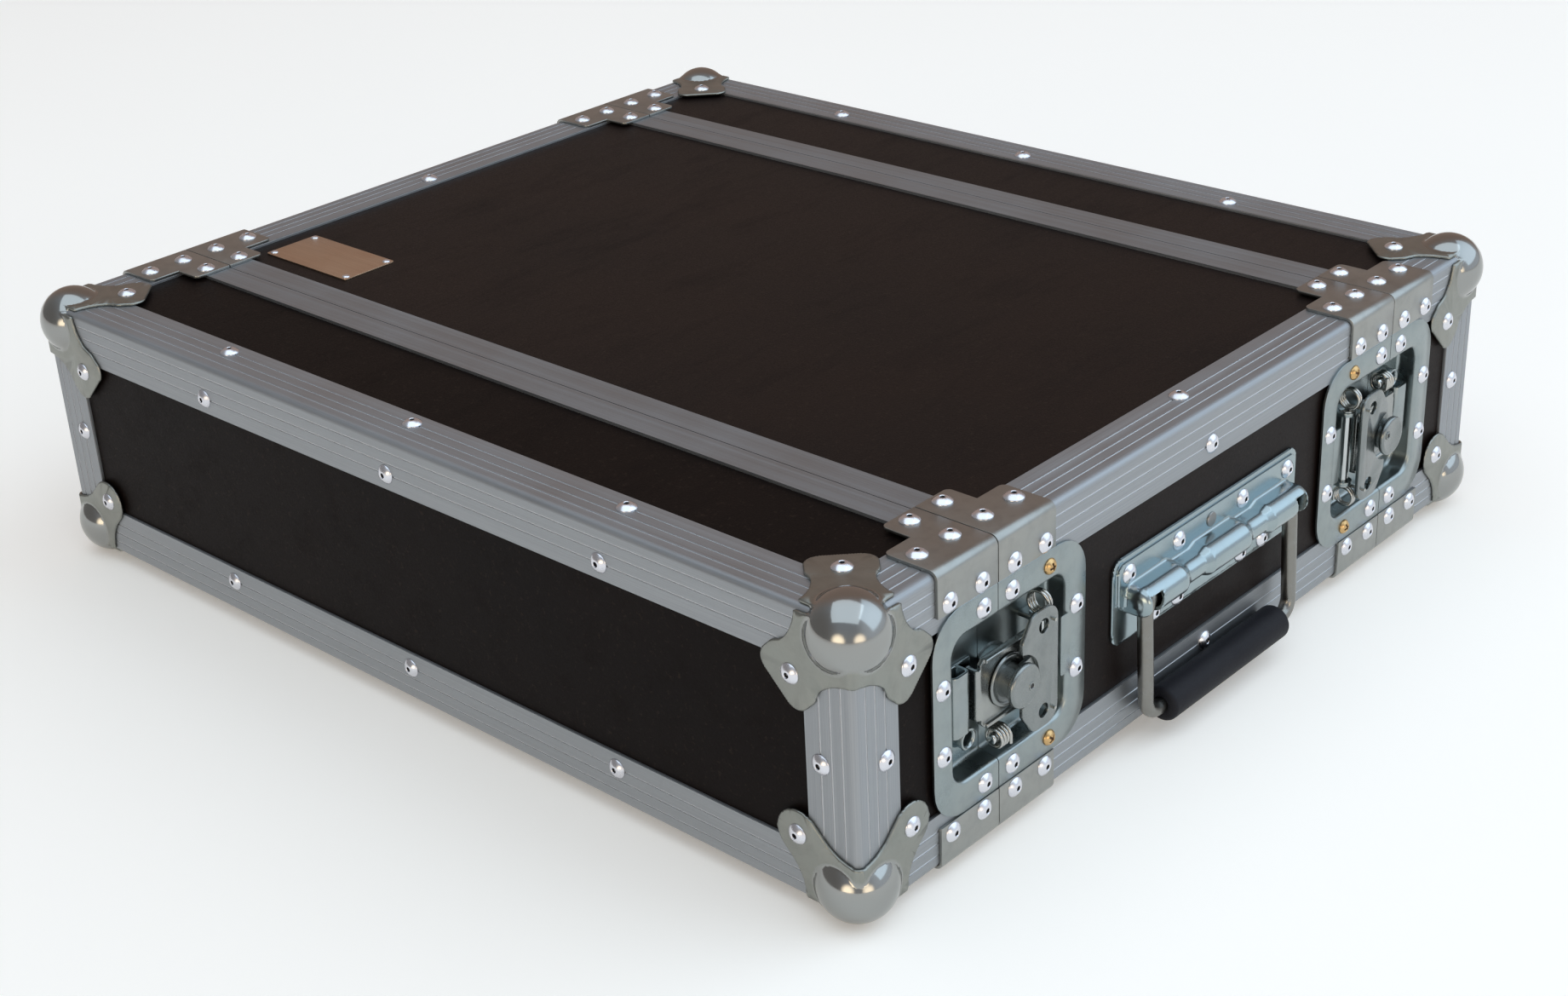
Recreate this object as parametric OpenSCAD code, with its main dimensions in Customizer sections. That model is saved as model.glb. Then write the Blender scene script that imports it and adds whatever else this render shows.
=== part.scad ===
// Road case for 19 inch equipment, two rack units high: an open sleeve with a lift-off lid at
// each end, aluminium edge profiles, tongue and groove seams, recessed turn latches, bail
// handles, braces at the seams, ball corners, and rack rails inside. All sizes in millimetres.

/* [Case] */
// Width over the edge profiles
case_w = 530; // [510:1:570]
// Depth over the edge profiles of both lids
case_d = 473; // [440:1:620]
// Height over the edge profiles
case_h = 132; // [130:1:170]
// Depth of each lid, from the seam to its face
lid_d = 85; // [82:1:110]
// Thickness of the laminated boards
board_t = 9; // [8:0.5:10]
// Width of the dark line between a lid and the sleeve
seam_gap = 0.4; // [0.3:0.1:0.8]

/* [Edge profile] */
// Width of each flange
edge_w = 25; // [22:0.5:30]
// Thickness of the flanges
edge_t = 1.5; // [1.2:0.1:2]
// Radius of the rounded nose
nose_r = 3; // [1.5:0.5:4]
// Reach of the inner leg that holds the board
edge_leg = 12; // [8:0.5:16]
// Thickness of the inner leg
leg_t = 1.2; // [1:0.1:1.8]
// Number of fine grooves on each flange
groove_n = 3; // [1:1:3]
// Distance from the nose to the first groove
groove_first = 6.5; // [5:0.5:8]
// Distance between grooves
groove_pitch = 5.5; // [4:0.5:6]
// Width of a groove
groove_w = 0.8; // [0.4:0.1:1.2]
// Depth of a groove
groove_depth = 0.4; // [0.2:0.1:0.6]
// Hairline left between mitred ends
mitre_gap = 0.1; // [0.05:0.05:0.3]

/* [Seam profile] */
// Width of the flat band on each side of the seam
seam_w = 14; // [12:0.5:16]
// Width of the flange inside the case
seam_in_w = 10; // [6:0.5:12]
// Thickness of the web behind the tongue
tongue_web = 2.2; // [2:0.1:3]
// Height of the tongue
tongue_h = 3.4; // [2.5:0.1:4]
// Thickness of the tongue at its root
tongue_t = 3; // [2:0.1:4]
// Taper of each tongue face at its tip
tongue_taper = 0.4; // [0.2:0.1:0.6]
// Thickness of the web that holds the groove
groove_web = 5.6; // [5.4:0.1:7]
// Clearance between tongue and groove
tongue_clear = 0.35; // [0.3:0.05:0.6]

/* [Braces] */
// Length of a brace along the edge
brace_len = 37; // [34:0.5:38]
// Reach of the lug over the seam band
brace_lug = 40; // [38:0.5:44]
// Depth of the lug from the seam
brace_lug_d = 20.5; // [18:0.5:24]
// Thickness of braces and corner pieces
plate_t = 1.5; // [1.2:0.1:2]
// Corner radius of braces
brace_r = 3; // [1:0.5:5]

/* [Ball corners] */
// Radius of the ball
ball_r = 17.5; // [16:0.5:19]
// Depth of the ball's centre inside each face
ball_in = 11; // [10:0.5:12]
// Distance of an ear's rivet from both edges
ear_at = 30; // [28:0.5:31]
// Reach of an ear from the case's corner, along its diagonal
ear_end = 53; // [51:0.5:56]
// Width of an ear's neck
neck_w = 25; // [24:0.5:27]
// Width of an upper ear's end
ear_w = 29; // [28:0.5:31]
// Corner radius of an upper ear's end
ear_r = 7; // [5:0.5:9]
// Width of a lower ear
ear_low_w = 22; // [20:0.5:24]
// Corner radius of a lower ear's end
ear_low_r = 10; // [7:0.5:10]
// Reach of the corner piece along each edge
ear_edge = 27; // [24:0.5:28]
// Reach of a lower corner piece along the upright edge
ear_low = 19; // [19:0.5:24]
// Width of the slits between ears
slit_w = 1.6; // [1:0.1:2.5]

/* [Latch dish] */
// Reach of the dish over the lid, from the seam
dish_lid = 40.5; // [38:0.5:42]
// Reach of the dish over the sleeve, from the seam
dish_body = 58.5; // [56:0.5:62]
// Height of the dish
dish_h = 94; // [90:0.5:96]
// Corner radius of the dish
dish_r = 18; // [14:0.5:22]
// Reach of the recess over the lid
pan_lid = 28; // [26.5:0.5:29]
// Reach of the recess over the sleeve
pan_body = 45.5; // [43:0.5:47]
// Height of the recess
pan_h = 66; // [64:0.5:67]
// Corner radius of the recess
pan_r = 8; // [6:0.5:12]
// Sheet thickness of the dish
sheet_t = 1.2; // [1:0.1:1.4]
// Clearance between the dish and its hole in the board
dish_clear = 0.3; // [0.2:0.1:0.6]

/* [Latch mechanism] */
// Distance of the turning post from the seam
post_s = 7.3; // [7:0.1:8]
// Radius of the post
post_r = 7.5; // [6:0.5:8]
// Radius of the post's head
head_r = 9.5; // [9:0.5:11]
// Height of the post's head above the edge profile
head_top = 9.7; // [9:0.1:11]
// Radius of the collar that holds the hook down
collar_r = 11.5; // [10.8:0.1:12]
// Radius of the eccentric that drives the hook
cam_r = 9; // [8.5:0.1:9.2]
// Offset of the eccentric from the post's axis
cam_throw = 1.2; // [0.8:0.1:1.3]
// Clearance around the eccentric
cam_clear = 0.55; // [0.5:0.05:0.6]
// Radius of the post's shaft in the dish floor
shaft_r = 5; // [4:0.5:5.5]
// Clearance of turning and sliding pieces
run_clear = 0.3; // [0.25:0.05:0.35]
// Thickness of the hook plate
hook_t = 2; // [1.6:0.1:2.2]
// Height of the hook plate
hook_h = 31; // [30:0.5:32]
// Distance of the claw's outer face from the seam
claw_s = 11.2; // [11:0.1:11.6]
// Depth of the claw below the hook plate
claw_d = 3.5; // [2.5:0.1:3.8]
// Length of the hook plate on the sleeve side
hook_back = 25; // [22:0.5:26]
// Thickness of the wing plate
wing_t = 2; // [1.6:0.1:2.4]
// Length of the wing plate
wing_len = 54.4; // [50:0.2:56]
// Reach of the wing plate from the post's axis
wing_out = 24.9; // [22:0.1:26]
// Radius of the finger holes in the wing plate
wing_hole_r = 3.15; // [2.5:0.05:3.5]
// Distance of the axle from the seam
axle_s = 31; // [30.5:0.5:33]
// Depth of the axle's centre below the edge profile
axle_d = 2.5; // [2:0.1:3]
// Radius of the axle
axle_r = 2.5; // [2:0.1:2.6]
// Distance between the axle's two ears
axle_ears = 36; // [35:0.5:38]
// Diameter of the spring wire
wire_d = 1.6; // [1.2:0.1:1.7]
// Rise of the spring per curl
spring_pitch = 2.3; // [2.2:0.1:2.4]
// Number of whole curls of each spring
spring_curls = 2; // [1:1:2]

/* [Handle] */
// Length of the base plate
handle_len = 144; // [142:1:150]
// Height of the base plate
handle_h = 41; // [40:0.5:46]
// Thickness of the base plate
handle_t = 1.5; // [1.2:0.1:2]
// Thickness of the saddle sheet
saddle_t = 1.2; // [1:0.1:1.5]
// Radius of the bail's rod
rod_r = 3.5; // [3:0.1:4]
// Height of the rod's axis above the base plate
rod_up = 6.3; // [6:0.1:7]
// Distance of each leg from the middle
leg_x = 57.5; // [56:0.5:58]
// Distance from the rod's axis to the middle of the grip
bail_reach = 56.5; // [52:0.5:58]
// Radius of the bends of the bail
bend_r = 8; // [7:0.5:9]
// Radius of the grip
grip_r = 8.25; // [7:0.25:9]
// Half the length of the grip
grip_x = 46.5; // [40:0.5:47]
// Outer radius of the three humps
hump_r = 7.2; // [7:0.1:7.6]
// Sheet thickness around the rod
hump_t = 1.5; // [1.2:0.1:1.6]

/* [Rack rails] */
// Height in rack units
rack_units = 2; // [2:1:2]
// Height of one rack unit
unit = 44.45; // [44.45:0.05:44.45]
// Distance of each column of holes from the case's side; 32.45 puts them 465.1 apart
hole_in = 32.45; // [30:0.05:34]
// Radius of the rail's holes
rack_hole_r = 3; // [2.5:0.1:3.3]
// Distance of a rail's face behind the seam
rail_back = 22; // [16:1:60]
// Thickness of the rail
rail_t = 2; // [1.5:0.1:2.5]
// Depth of the rail's wall flange
rail_d = 30; // [22:1:40]
// Distance of the rail's inner edge from its holes
rail_edge = 7; // [6:0.5:7.5]

/* [Name plate] */
// Length of the blank plate
badge_w = 65; // [50:1:80]
// Width of the blank plate
badge_d = 32; // [24:1:36]
// Thickness of the blank plate
badge_t = 0.8; // [0.5:0.1:1.2]
// Distance of the plate from the left edge profile
badge_in_x = 11; // [6:1:40]
// Distance of the plate from the seam band
badge_in_y = 11.5; // [6:0.5:40]

/* [Rivets] */
// Radius of a rivet head
rivet_r = 4.5; // [4:0.1:4.8]
// Height of a rivet head
rivet_h = 2.2; // [1.8:0.1:2.6]
// Radius of the hole in a rivet head
rivet_hole_r = 1.1; // [0.8:0.1:1.5]
// Distance of the edge profile's rivets from the edge
edge_rivet = 17.5; // [14:0.5:18]
// Distance of the brace rivets on top from the edge
brace_rivet = 14; // [13:0.5:14]
// Gap between a dish and the brace rivets beside it
rivet_gap = 0.5; // [0.4:0.1:1]
// Distance of the first brace rivet from the seam
brace_first = 10; // [9:0.5:10]
// Distance between brace rivets
brace_pitch = 20; // [18:0.5:20]
// Radius of the name plate's pins
pin_r = 2; // [1.5:0.1:2.5]

/* [Hidden] */
$fn = 48;
hx = case_w / 2;
hy = case_d / 2;
hz = case_h / 2;
base_z = ball_r - ball_in;
seam_y = hy - lid_d;
half_gap = seam_gap / 2;
wall = edge_t + board_t;
tongue_at = edge_t + board_t / 2;
big = 3 * case_w;
skin = 0.5;
bend_in = nose_r - 0.5;

// Levels of the latch, counted outwards from the face of the edge profile
floor_z = sheet_t - wall;
head_t = 3;
wing_z = head_top - head_t - wing_t;
hook_top = -run_clear;
hook_z = hook_top - hook_t;
claw_z = hook_z - claw_d;
cam_z = hook_z;
boss_z = hook_z - run_clear;
boss_r = 12;
shaft_end = floor_z - sheet_t + 0.6;
collar_t = 1.2;
cam_slot = cam_r + cam_clear;
catch_z = claw_z - run_clear;
guard_s = claw_s + 2 * cam_throw + 0.6;
lip_t = 1.5;
lip_up = 1.3;

// Axle and springs of the latch
axle_head_r = axle_r + 1.3;
axle_half = pan_h / 2 - 5.5;
axle_coil_r = axle_r + wire_d / 2 + 0.9;
axle_coil_y = axle_ears / 2 + 1 + wire_d;
pin_s = 3;
pin_d = 3.5;
side_pin_r = 2.2;
side_pin_len = 14.5;
side_coil_r = side_pin_r + wire_d / 2 + 1.4;
side_coil_y = pan_h / 2 - 4 - (spring_curls + 0.25) * spring_pitch;
coil_steps = 8;
wire_sides = 6;

// Handle
rod_z = handle_t + rod_up;
rod_clear = 0.3;
neck_r = rod_r + rod_clear + hump_t;
handle_out = edge_t;
bail_tilt = asin((edge_t + grip_r + rod_clear - rod_z) / bail_reach);
hump_end = leg_x + 6 - hump_r;
hump_gap = hump_end - 17.9;
hump_mid = 12;
saddle_in = 1.5;
slot_clear = 1.2;
bore_clear = 0.05;
handle_rows = [12.5, -14.4];
upper_rivets = [25, handle_len / 2 - 10];
lower_rivets = [25, 43];

// Rack
rack_hole_x = case_w - 2 * hole_in;
rail_h = rack_units * unit;
unit_holes = [unit / 7, unit / 2, unit * 6 / 7];
bolt_r = 4.5;
bolt_h = 2;
bolt_in = 5.2;

zinc = [0.72, 0.74, 0.72];
alu = [0.80, 0.81, 0.83];
laminate = [0.09, 0.08, 0.08];
steel = [0.62, 0.61, 0.58];
rubber = [0.07, 0.07, 0.09];

// Everything is drawn around the middle of the case and lifted so that the balls touch the floor
module in_case() {
  translate([0, 0, base_z + hz]) children();
}

// The rear half of the case is the front half turned round
module at_rear() {
  rotate([0, 0, 180]) children();
}

module four_edges() {
  for (sx = [0, 1], sz = [0, 1]) {
    mirror([sx, 0, 0]) mirror([0, 0, sz]) children();
  }
}

module top_and_bottom() {
  for (sz = [0, 1]) {
    mirror([0, 0, sz]) children();
  }
}

module right_and_left() {
  for (sx = [0, 1]) {
    mirror([sx, 0, 0]) children();
  }
}

module rounded_rect(size, r) {
  square([size[0] - 2 * r, size[1]], center = true);
  square([size[0], size[1] - 2 * r], center = true);
  for (sx = [-1, 1], sy = [-1, 1]) {
    translate([sx * (size[0] / 2 - r), sy * (size[1] / 2 - r)]) circle(r);
  }
}

// Aluminium profiles

// Double angle: two outer flanges and an inner leg, with the nose at the origin
module edge_section() {
  difference() {
    union() {
      translate([-edge_w, -edge_t]) square([edge_w, edge_t]);
      translate([-edge_t, -edge_w]) square([edge_t, edge_w]);
      translate([-edge_t - edge_leg, -wall - leg_t]) square([edge_leg + edge_t / 2, leg_t]);
    }
    difference() {
      translate([-nose_r, -nose_r]) square(nose_r + 1);
      translate([-nose_r, -nose_r]) circle(nose_r);
    }
    for (i = [0 : groove_n - 1]) {
      at = groove_first + i * groove_pitch;
      translate([-at - groove_w / 2, -groove_depth]) square([groove_w, 1]);
      translate([-groove_depth, -at - groove_w / 2]) square([1, groove_w]);
    }
  }
}

// Removes what lies beyond the two mitre planes at the start of a bar
module mitre_cut() {
  translate([0, 0, mitre_gap / 2]) {
    rotate([0, 45, 0]) translate([-big / 2, -big / 2, -big]) cube(big);
    rotate([-45, 0, 0]) translate([-big / 2, -big / 2, -big]) cube(big);
  }
}

module edge_bar(len, start = false, end = false) {
  difference() {
    linear_extrude(len) edge_section();
    if (start) mitre_cut();
    if (end) translate([0, 0, len]) mirror([0, 0, 1]) mitre_cut();
  }
}

// Band along the sleeve's opening, with the tongue that enters the lid
module tongue_section() {
  translate([-edge_t, half_gap]) square([edge_t, seam_w - half_gap]);
  translate([-wall - edge_t, half_gap]) square([wall + edge_t, tongue_web]);
  translate([-wall - edge_t, half_gap]) square([edge_t, seam_in_w]);
  translate([-tongue_at, half_gap]) polygon([
    [-tongue_t / 2, skin], [tongue_t / 2, skin], [tongue_t / 2, 0],
    [tongue_t / 2 - tongue_taper, -tongue_h], [-tongue_t / 2 + tongue_taper, -tongue_h],
    [-tongue_t / 2, 0]
  ]);
}

// Band along the lid's opening, with the groove
module groove_section() {
  difference() {
    union() {
      translate([-edge_t, half_gap]) square([edge_t, seam_w - half_gap]);
      translate([-wall - edge_t, half_gap]) square([wall + edge_t, groove_web]);
      translate([-wall - edge_t, half_gap]) square([edge_t, seam_in_w]);
    }
    groove_bottom = tongue_h - half_gap + tongue_clear;
    translate([-tongue_at - tongue_t / 2 - tongue_clear, -1])
      square([tongue_t + 2 * tongue_clear, groove_bottom + 1]);
  }
}

// Four mitred bars around an opening at the front seam, open at the sides for the latch dishes
module seam_frame(dir) {
  dish_room = pan_h / 2 + sheet_t + dish_clear;
  intersection() {
    union() {
      top_and_bottom() translate([hx, -seam_y, hz]) mirror([0, dir, 0]) rotate([0, -90, 0])
        mitred_ends(case_w) linear_extrude(case_w) children();
      right_and_left() translate([hx, -seam_y, -hz]) mirror([0, dir, 0]) difference() {
        mitred_ends(case_h) linear_extrude(case_h) children();
        translate([-big / 2, -big / 2, hz - dish_room]) cube([big, big, 2 * dish_room]);
      }
    }
    rotate([90, 0, 0]) linear_extrude(case_d, center = true) rounded_rect([case_w, case_h], nose_r);
  }
}

module mitred_ends(len) {
  difference() {
    children();
    translate([0, 0, mitre_gap / 2]) rotate([0, 45, 0])
      translate([-big / 2, -big / 2, -big]) cube(big);
    translate([0, 0, len - mitre_gap / 2]) mirror([0, 0, 1]) rotate([0, 45, 0])
      translate([-big / 2, -big / 2, -big]) cube(big);
  }
}

module body_edge_profiles() {
  len = 2 * (seam_y - seam_w);
  color(alu) in_case() four_edges()
    translate([hx, len / 2, hz]) rotate([90, 0, 0]) edge_bar(len);
}

module lid_edge_profiles() {
  color(alu) in_case() {
    four_edges() translate([hx, -seam_y - seam_w, hz]) rotate([90, 0, 0])
      edge_bar(lid_d - seam_w, end = true);
    top_and_bottom() translate([-hx, -hy, hz]) rotate([180, -90, 0])
      edge_bar(case_w, start = true, end = true);
    right_and_left() translate([hx, -hy, hz]) rotate([180, 0, 0])
      edge_bar(case_h, start = true, end = true);
  }
}

module tongue_frame() {
  color(alu) in_case() seam_frame(0) tongue_section();
}

module groove_frame() {
  color(alu) in_case() seam_frame(1) groove_section();
}

// Boards

module body_top_panel() {
  len = 2 * (seam_y - half_gap - tongue_web);
  color(laminate) in_case() translate([-hx + edge_t, -len / 2, hz - wall])
    cube([case_w - 2 * edge_t, len, board_t]);
}

module body_bottom_panel() {
  translate([0, 0, 2 * (base_z + hz)]) mirror([0, 0, 1]) body_top_panel();
}

// Side board, cut out for the recesses of its two latch dishes
module body_side_panel(side) {
  len = 2 * (seam_y - half_gap - tongue_web);
  height = case_h - 2 * (wall + leg_t);
  color(laminate) in_case() difference() {
    translate([side * (hx - edge_t - board_t / 2), 0, 0]) cube([board_t, len, height], center = true);
    for (end = [-1, 1]) {
      latch_at(side, end) pan_hole();
    }
  }
}

module lid_panel() {
  color(laminate) in_case() translate([-hx + edge_t, -hy + edge_t, -hz + edge_t])
    cube([case_w - 2 * edge_t, board_t, case_h - 2 * edge_t]);
}

module lid_rim() {
  inner = wall + leg_t;
  len = lid_d - inner - half_gap - groove_web;
  start = -hy + inner;
  height = case_h - 2 * inner;
  color(laminate) in_case() {
    top_and_bottom() translate([-hx + edge_t, start, hz - wall])
      cube([case_w - 2 * edge_t, len, board_t]);
    for (side = [-1, 1]) {
      difference() {
        translate([side * (hx - edge_t - board_t / 2), start + len / 2, 0])
          cube([board_t, len, height], center = true);
        latch_at(side, -1) pan_hole();
      }
    }
  }
}

// Braces and corners

// One bent plate in the right top quadrant, its seam edge at y = 0 and its length towards -y
module brace() {
  side_h = hz - dish_h / 2 - run_clear;
  translate([hx, 0, hz]) {
    linear_extrude(plate_t) difference() {
      union() {
        translate([-edge_w, -brace_len]) square([edge_w - bend_in, brace_len]);
        translate([-brace_lug, -brace_lug_d]) square([brace_lug - bend_in, brace_lug_d]);
      }
      translate([-brace_lug, -brace_lug_d]) corner_cut(brace_r);
      translate([-edge_w, -brace_len]) corner_cut(brace_r);
    }
    rotate([0, 90, 0]) linear_extrude(plate_t)
      translate([bend_in, -brace_len]) square([side_h - bend_in, brace_len]);
    rotate([90, 0, 0]) linear_extrude(brace_len) sheet_bend();
  }
}

// Quarter ring that joins two plates over a rounded nose, with the corner at the origin
module sheet_bend() {
  translate([-bend_in, -bend_in]) intersection() {
    difference() {
      circle(bend_in + plate_t);
      circle(bend_in);
    }
    square(bend_in + plate_t + 1);
  }
}

// What rounds a corner off takes away, with the corner at the origin
module corner_cut(r) {
  difference() {
    translate([-1, -1]) square(r + 1);
    translate([r, r]) circle(r);
  }
}

module lid_braces() {
  color(zinc) in_case() four_edges() translate([0, -seam_y - half_gap, 0]) brace();
}

module body_braces() {
  color(zinc) in_case() four_edges() translate([0, -seam_y + half_gap, 0]) mirror([0, 1, 0]) brace();
}

function on_diagonal(s, t) = [s - t, s + t] / sqrt(2);

// Outline of one ear, with the case's corner at the origin: its reach along both edges, then the
// width and the corner radius of its end
module ear_outline(reach_x, reach_y, width, r) {
  neck = min(width, neck_w) / 2;
  end_from = ear_end - 2 * r - 3;
  polygon([
    [0, 0], [reach_x, 0], [reach_x, 5], on_diagonal(29, -neck - 1.3), on_diagonal(35, -neck),
    on_diagonal(ear_end - r, -neck), on_diagonal(ear_end - r, neck), on_diagonal(35, neck),
    on_diagonal(29, neck + 1.3), [5, reach_y], [0, reach_y]
  ]);
  rotate(45) translate([(end_from + ear_end) / 2, 0]) rounded_rect([ear_end - end_from, width], r);
}

// Ear outline without the strips along its two edges
module trimmed_ear(trim_x, trim_y, width, r, reach_x = ear_edge, reach_y = ear_edge) {
  intersection() {
    ear_outline(reach_x, reach_y, width, r);
    translate([trim_x, trim_y]) square(ear_end);
  }
}

// Corner piece in the right top quadrant of the front: three riveted ears and a ball. The upper
// pieces are bent round the upright edge, and slits part them from the top ear. The lower ones
// are turned, so that their side ears are parted along the upright edge.
module ball_corner(low) {
  upright = low ? ear_low : ear_edge;
  trim = low ? slit_w / 2 : bend_in;
  width = low ? ear_low_w : ear_w;
  r = low ? ear_low_r : ear_r;
  translate([hx, -hy, hz]) {
    linear_extrude(plate_t) mirror([1, 0]) trimmed_ear(slit_w, slit_w, width, r);
    rotate([0, 90, 0]) linear_extrude(plate_t)
      trimmed_ear(slit_w, trim, width, r, reach_x = upright);
    mirror([1, 0, 0]) rotate([90, 0, 0]) linear_extrude(plate_t) mirror([0, 1])
      trimmed_ear(trim, slit_w, width, r, reach_y = upright);
    if (!low) {
      mirror([0, 1, 0]) translate([0, 0, -ear_edge]) linear_extrude(ear_edge - slit_w) sheet_bend();
    }
    difference() {
      translate([-ball_in, ball_in, -ball_in]) sphere(r = ball_r, $fn = 96);
      translate([-case_w, 0, -case_w]) cube(case_w);
    }
  }
}

module lid_ball_corners() {
  color(zinc) in_case() right_and_left() {
    ball_corner(false);
    mirror([0, 0, 1]) ball_corner(true);
  }
}

// Latch

// Puts a latch drawn with x from the seam into the sleeve, y up and z outwards on its place
module latch_at(side, end) {
  turn_x = side > 0 && end > 0 ? 180 : 0;
  turn_y = side < 0 && end < 0 ? 180 : 0;
  turn_z = side < 0 && end > 0 ? 180 : 0;
  translate([side * hx, end * seam_y, 0]) rotate([turn_x, turn_y, turn_z]) rotate([90, 0, 90])
    children();
}

module pan_outline(grow) {
  translate([(pan_body - pan_lid) / 2, 0])
    rounded_rect([pan_body + pan_lid + 2 * grow, pan_h + 2 * grow], pan_r + grow);
}

module pan_hole() {
  translate([0, 0, -2 * wall]) linear_extrude(3 * wall) pan_outline(sheet_t + dish_clear);
}

module dish_outline() {
  translate([(dish_body - dish_lid) / 2, 0])
    rounded_rect([dish_body + dish_lid, dish_h], dish_r);
}

// The sheet of one half: side is 1 for the sleeve's half and -1 for the lid's
module dish_half(side) {
  difference() {
    union() {
      linear_extrude(sheet_t) dish_outline();
      translate([0, 0, -wall]) linear_extrude(wall + sheet_t / 2) pan_outline(sheet_t);
    }
    translate([0, 0, floor_z]) linear_extrude(wall + 2 * sheet_t) pan_outline(0);
    translate([side > 0 ? half_gap - big : -half_gap, -big / 2, -big / 2]) cube(big);
  }
}

// The sleeve's half carries the post's boss and the ears of the axle
module latch_dish() {
  difference() {
    union() {
      dish_half(1);
      translate([post_s, 0, floor_z - sheet_t / 2])
        cylinder(r = boss_r, h = boss_z - floor_z + sheet_t / 2);
      for (sy = [-1, 1]) {
        translate([axle_s, sy * axle_ears / 2, -axle_d]) axle_ear();
      }
    }
    translate([post_s, 0, -2 * wall]) cylinder(r = shaft_r + run_clear, h = 3 * wall);
    translate([half_gap - big, -big / 2, -big / 2]) cube(big);
  }
}

module axle_ear() {
  ear_w = axle_r + 2;
  drop = -axle_d - floor_z + sheet_t / 2;
  rotate([90, 0, 0]) linear_extrude(2, center = true) difference() {
    union() {
      circle(ear_w);
      translate([-ear_w, -drop]) square([2 * ear_w, drop]);
    }
    circle(axle_r + bore_clear);
  }
}

// Rod across the recess, and the short pin that carries the side spring
module latch_axle() {
  translate([axle_s, 0, -axle_d]) rotate([90, 0, 0]) {
    cylinder(r = axle_r, h = 2 * axle_half, center = true);
    for (sz = [0, 1]) {
      mirror([0, 0, sz]) translate([0, 0, axle_half]) {
        cylinder(r = axle_head_r, h = 1);
        translate([0, 0, 1]) dome(axle_head_r, 1.2);
      }
    }
  }
  translate([pin_s, -pan_h / 2, -pin_d]) rotate([-90, 0, 0]) {
    cylinder(r = side_pin_r, h = side_pin_len - 1);
    translate([0, 0, side_pin_len - 2]) cylinder(r1 = side_pin_r + 1, r2 = side_pin_r, h = 2);
  }
}

// Points of a spring around the z axis: a straight leg, the curls, and another straight leg
function coil_angle(i) = i * 360 / coil_steps;
function coil_point(i, r, pitch) = [r * cos(coil_angle(i)), r * sin(coil_angle(i)), pitch * i / coil_steps];
function coil_tangent(i) = [-sin(coil_angle(i)), cos(coil_angle(i)), 0];
function coil_path(n, r, pitch, leg_in, leg_out) = concat(
  [coil_point(0, r, pitch) - leg_in * coil_tangent(0)],
  [for (i = [0 : n]) coil_point(i, r, pitch)],
  [coil_point(n, r, pitch) + leg_out * coil_tangent(n)]
);
function ring_step(j, n) = min(max(j - 1, 0), n);
function least_gap(path) = min([
  for (i = [0 : len(path) - 1], j = [i + coil_steps / 2 : 1 : len(path) - 1]) norm(path[i] - path[j])
]) - wire_d;

module coil_spring(r, pitch, leg_in, leg_out) {
  n = spring_curls * coil_steps + coil_steps / 4;
  path = coil_path(n, r, pitch, leg_in, leg_out);
  rings = len(path);
  points = [
    for (j = [0 : rings - 1], k = [0 : wire_sides - 1])
      let (a = coil_angle(ring_step(j, n)), b = k * 360 / wire_sides)
      path[j] + wire_d / 2 * (cos(b) * [cos(a), sin(a), 0] + sin(b) * [0, 0, 1])
  ];
  sides = [
    for (j = [0 : rings - 2], k = [0 : wire_sides - 1])
      let (a = j * wire_sides + k, b = j * wire_sides + (k + 1) % wire_sides)
      each [[a, a + wire_sides, b], [b, a + wire_sides, b + wire_sides]]
  ];
  last = (rings - 1) * wire_sides;
  caps = [
    for (k = [1 : wire_sides - 2])
      each [[0, k, k + 1], [last, last + k + 1, last + k]]
  ];
  echo(spring_least_gap_mm = least_gap(path));
  polyhedron(points, concat(sides, caps));
}

// Two springs on the axle, and one on the side pin
module latch_coils() {
  leg_down = -axle_d - floor_z - run_clear;
  for (sy = [0, 1]) {
    mirror([0, sy, 0]) translate([axle_s, axle_coil_y, -axle_d]) rotate([-90, 0, 0]) mirror([0, 1, 0])
      coil_spring(axle_coil_r, spring_pitch, leg_down, 7);
  }
  side_down = -pin_d - floor_z - run_clear;
  translate([pin_s, -side_coil_y, -pin_d]) rotate([90, 0, 0])
    coil_spring(side_coil_r, spring_pitch, side_down, 4);
}

// Plate that the eccentric pushes along; its claw reaches over the keeper in the lid
module latch_hook() {
  reach = claw_s + hook_back;
  slot_at = post_s + cam_throw;
  chamfer = 4;
  translate([0, 0, hook_z]) difference() {
    union() {
      linear_extrude(hook_t) polygon([
        [-claw_s, -hook_h / 2 + chamfer], [-claw_s + chamfer, -hook_h / 2], [hook_back, -hook_h / 2],
        [hook_back, hook_h / 2], [-claw_s + chamfer, hook_h / 2], [-claw_s, hook_h / 2 - chamfer]
      ]);
      translate([-claw_s, -hook_h / 2 + chamfer, -claw_d])
        cube([hook_t, hook_h - 2 * chamfer, claw_d + hook_t / 2]);
      for (sy = [-1, 1]) {
        translate([reach / 2 - claw_s + chamfer / 2, sy * (hook_h - lip_t) / 2, (hook_t + lip_up) / 2])
          cube([reach - chamfer, lip_t, hook_t + lip_up], center = true);
      }
    }
    translate([slot_at, 0, -1]) linear_extrude(hook_t + 2) {
      square([2 * cam_slot, 2 * cam_throw], center = true);
      for (sy = [-1, 1]) {
        translate([0, sy * cam_throw]) circle(cam_slot);
      }
    }
  }
}

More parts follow.
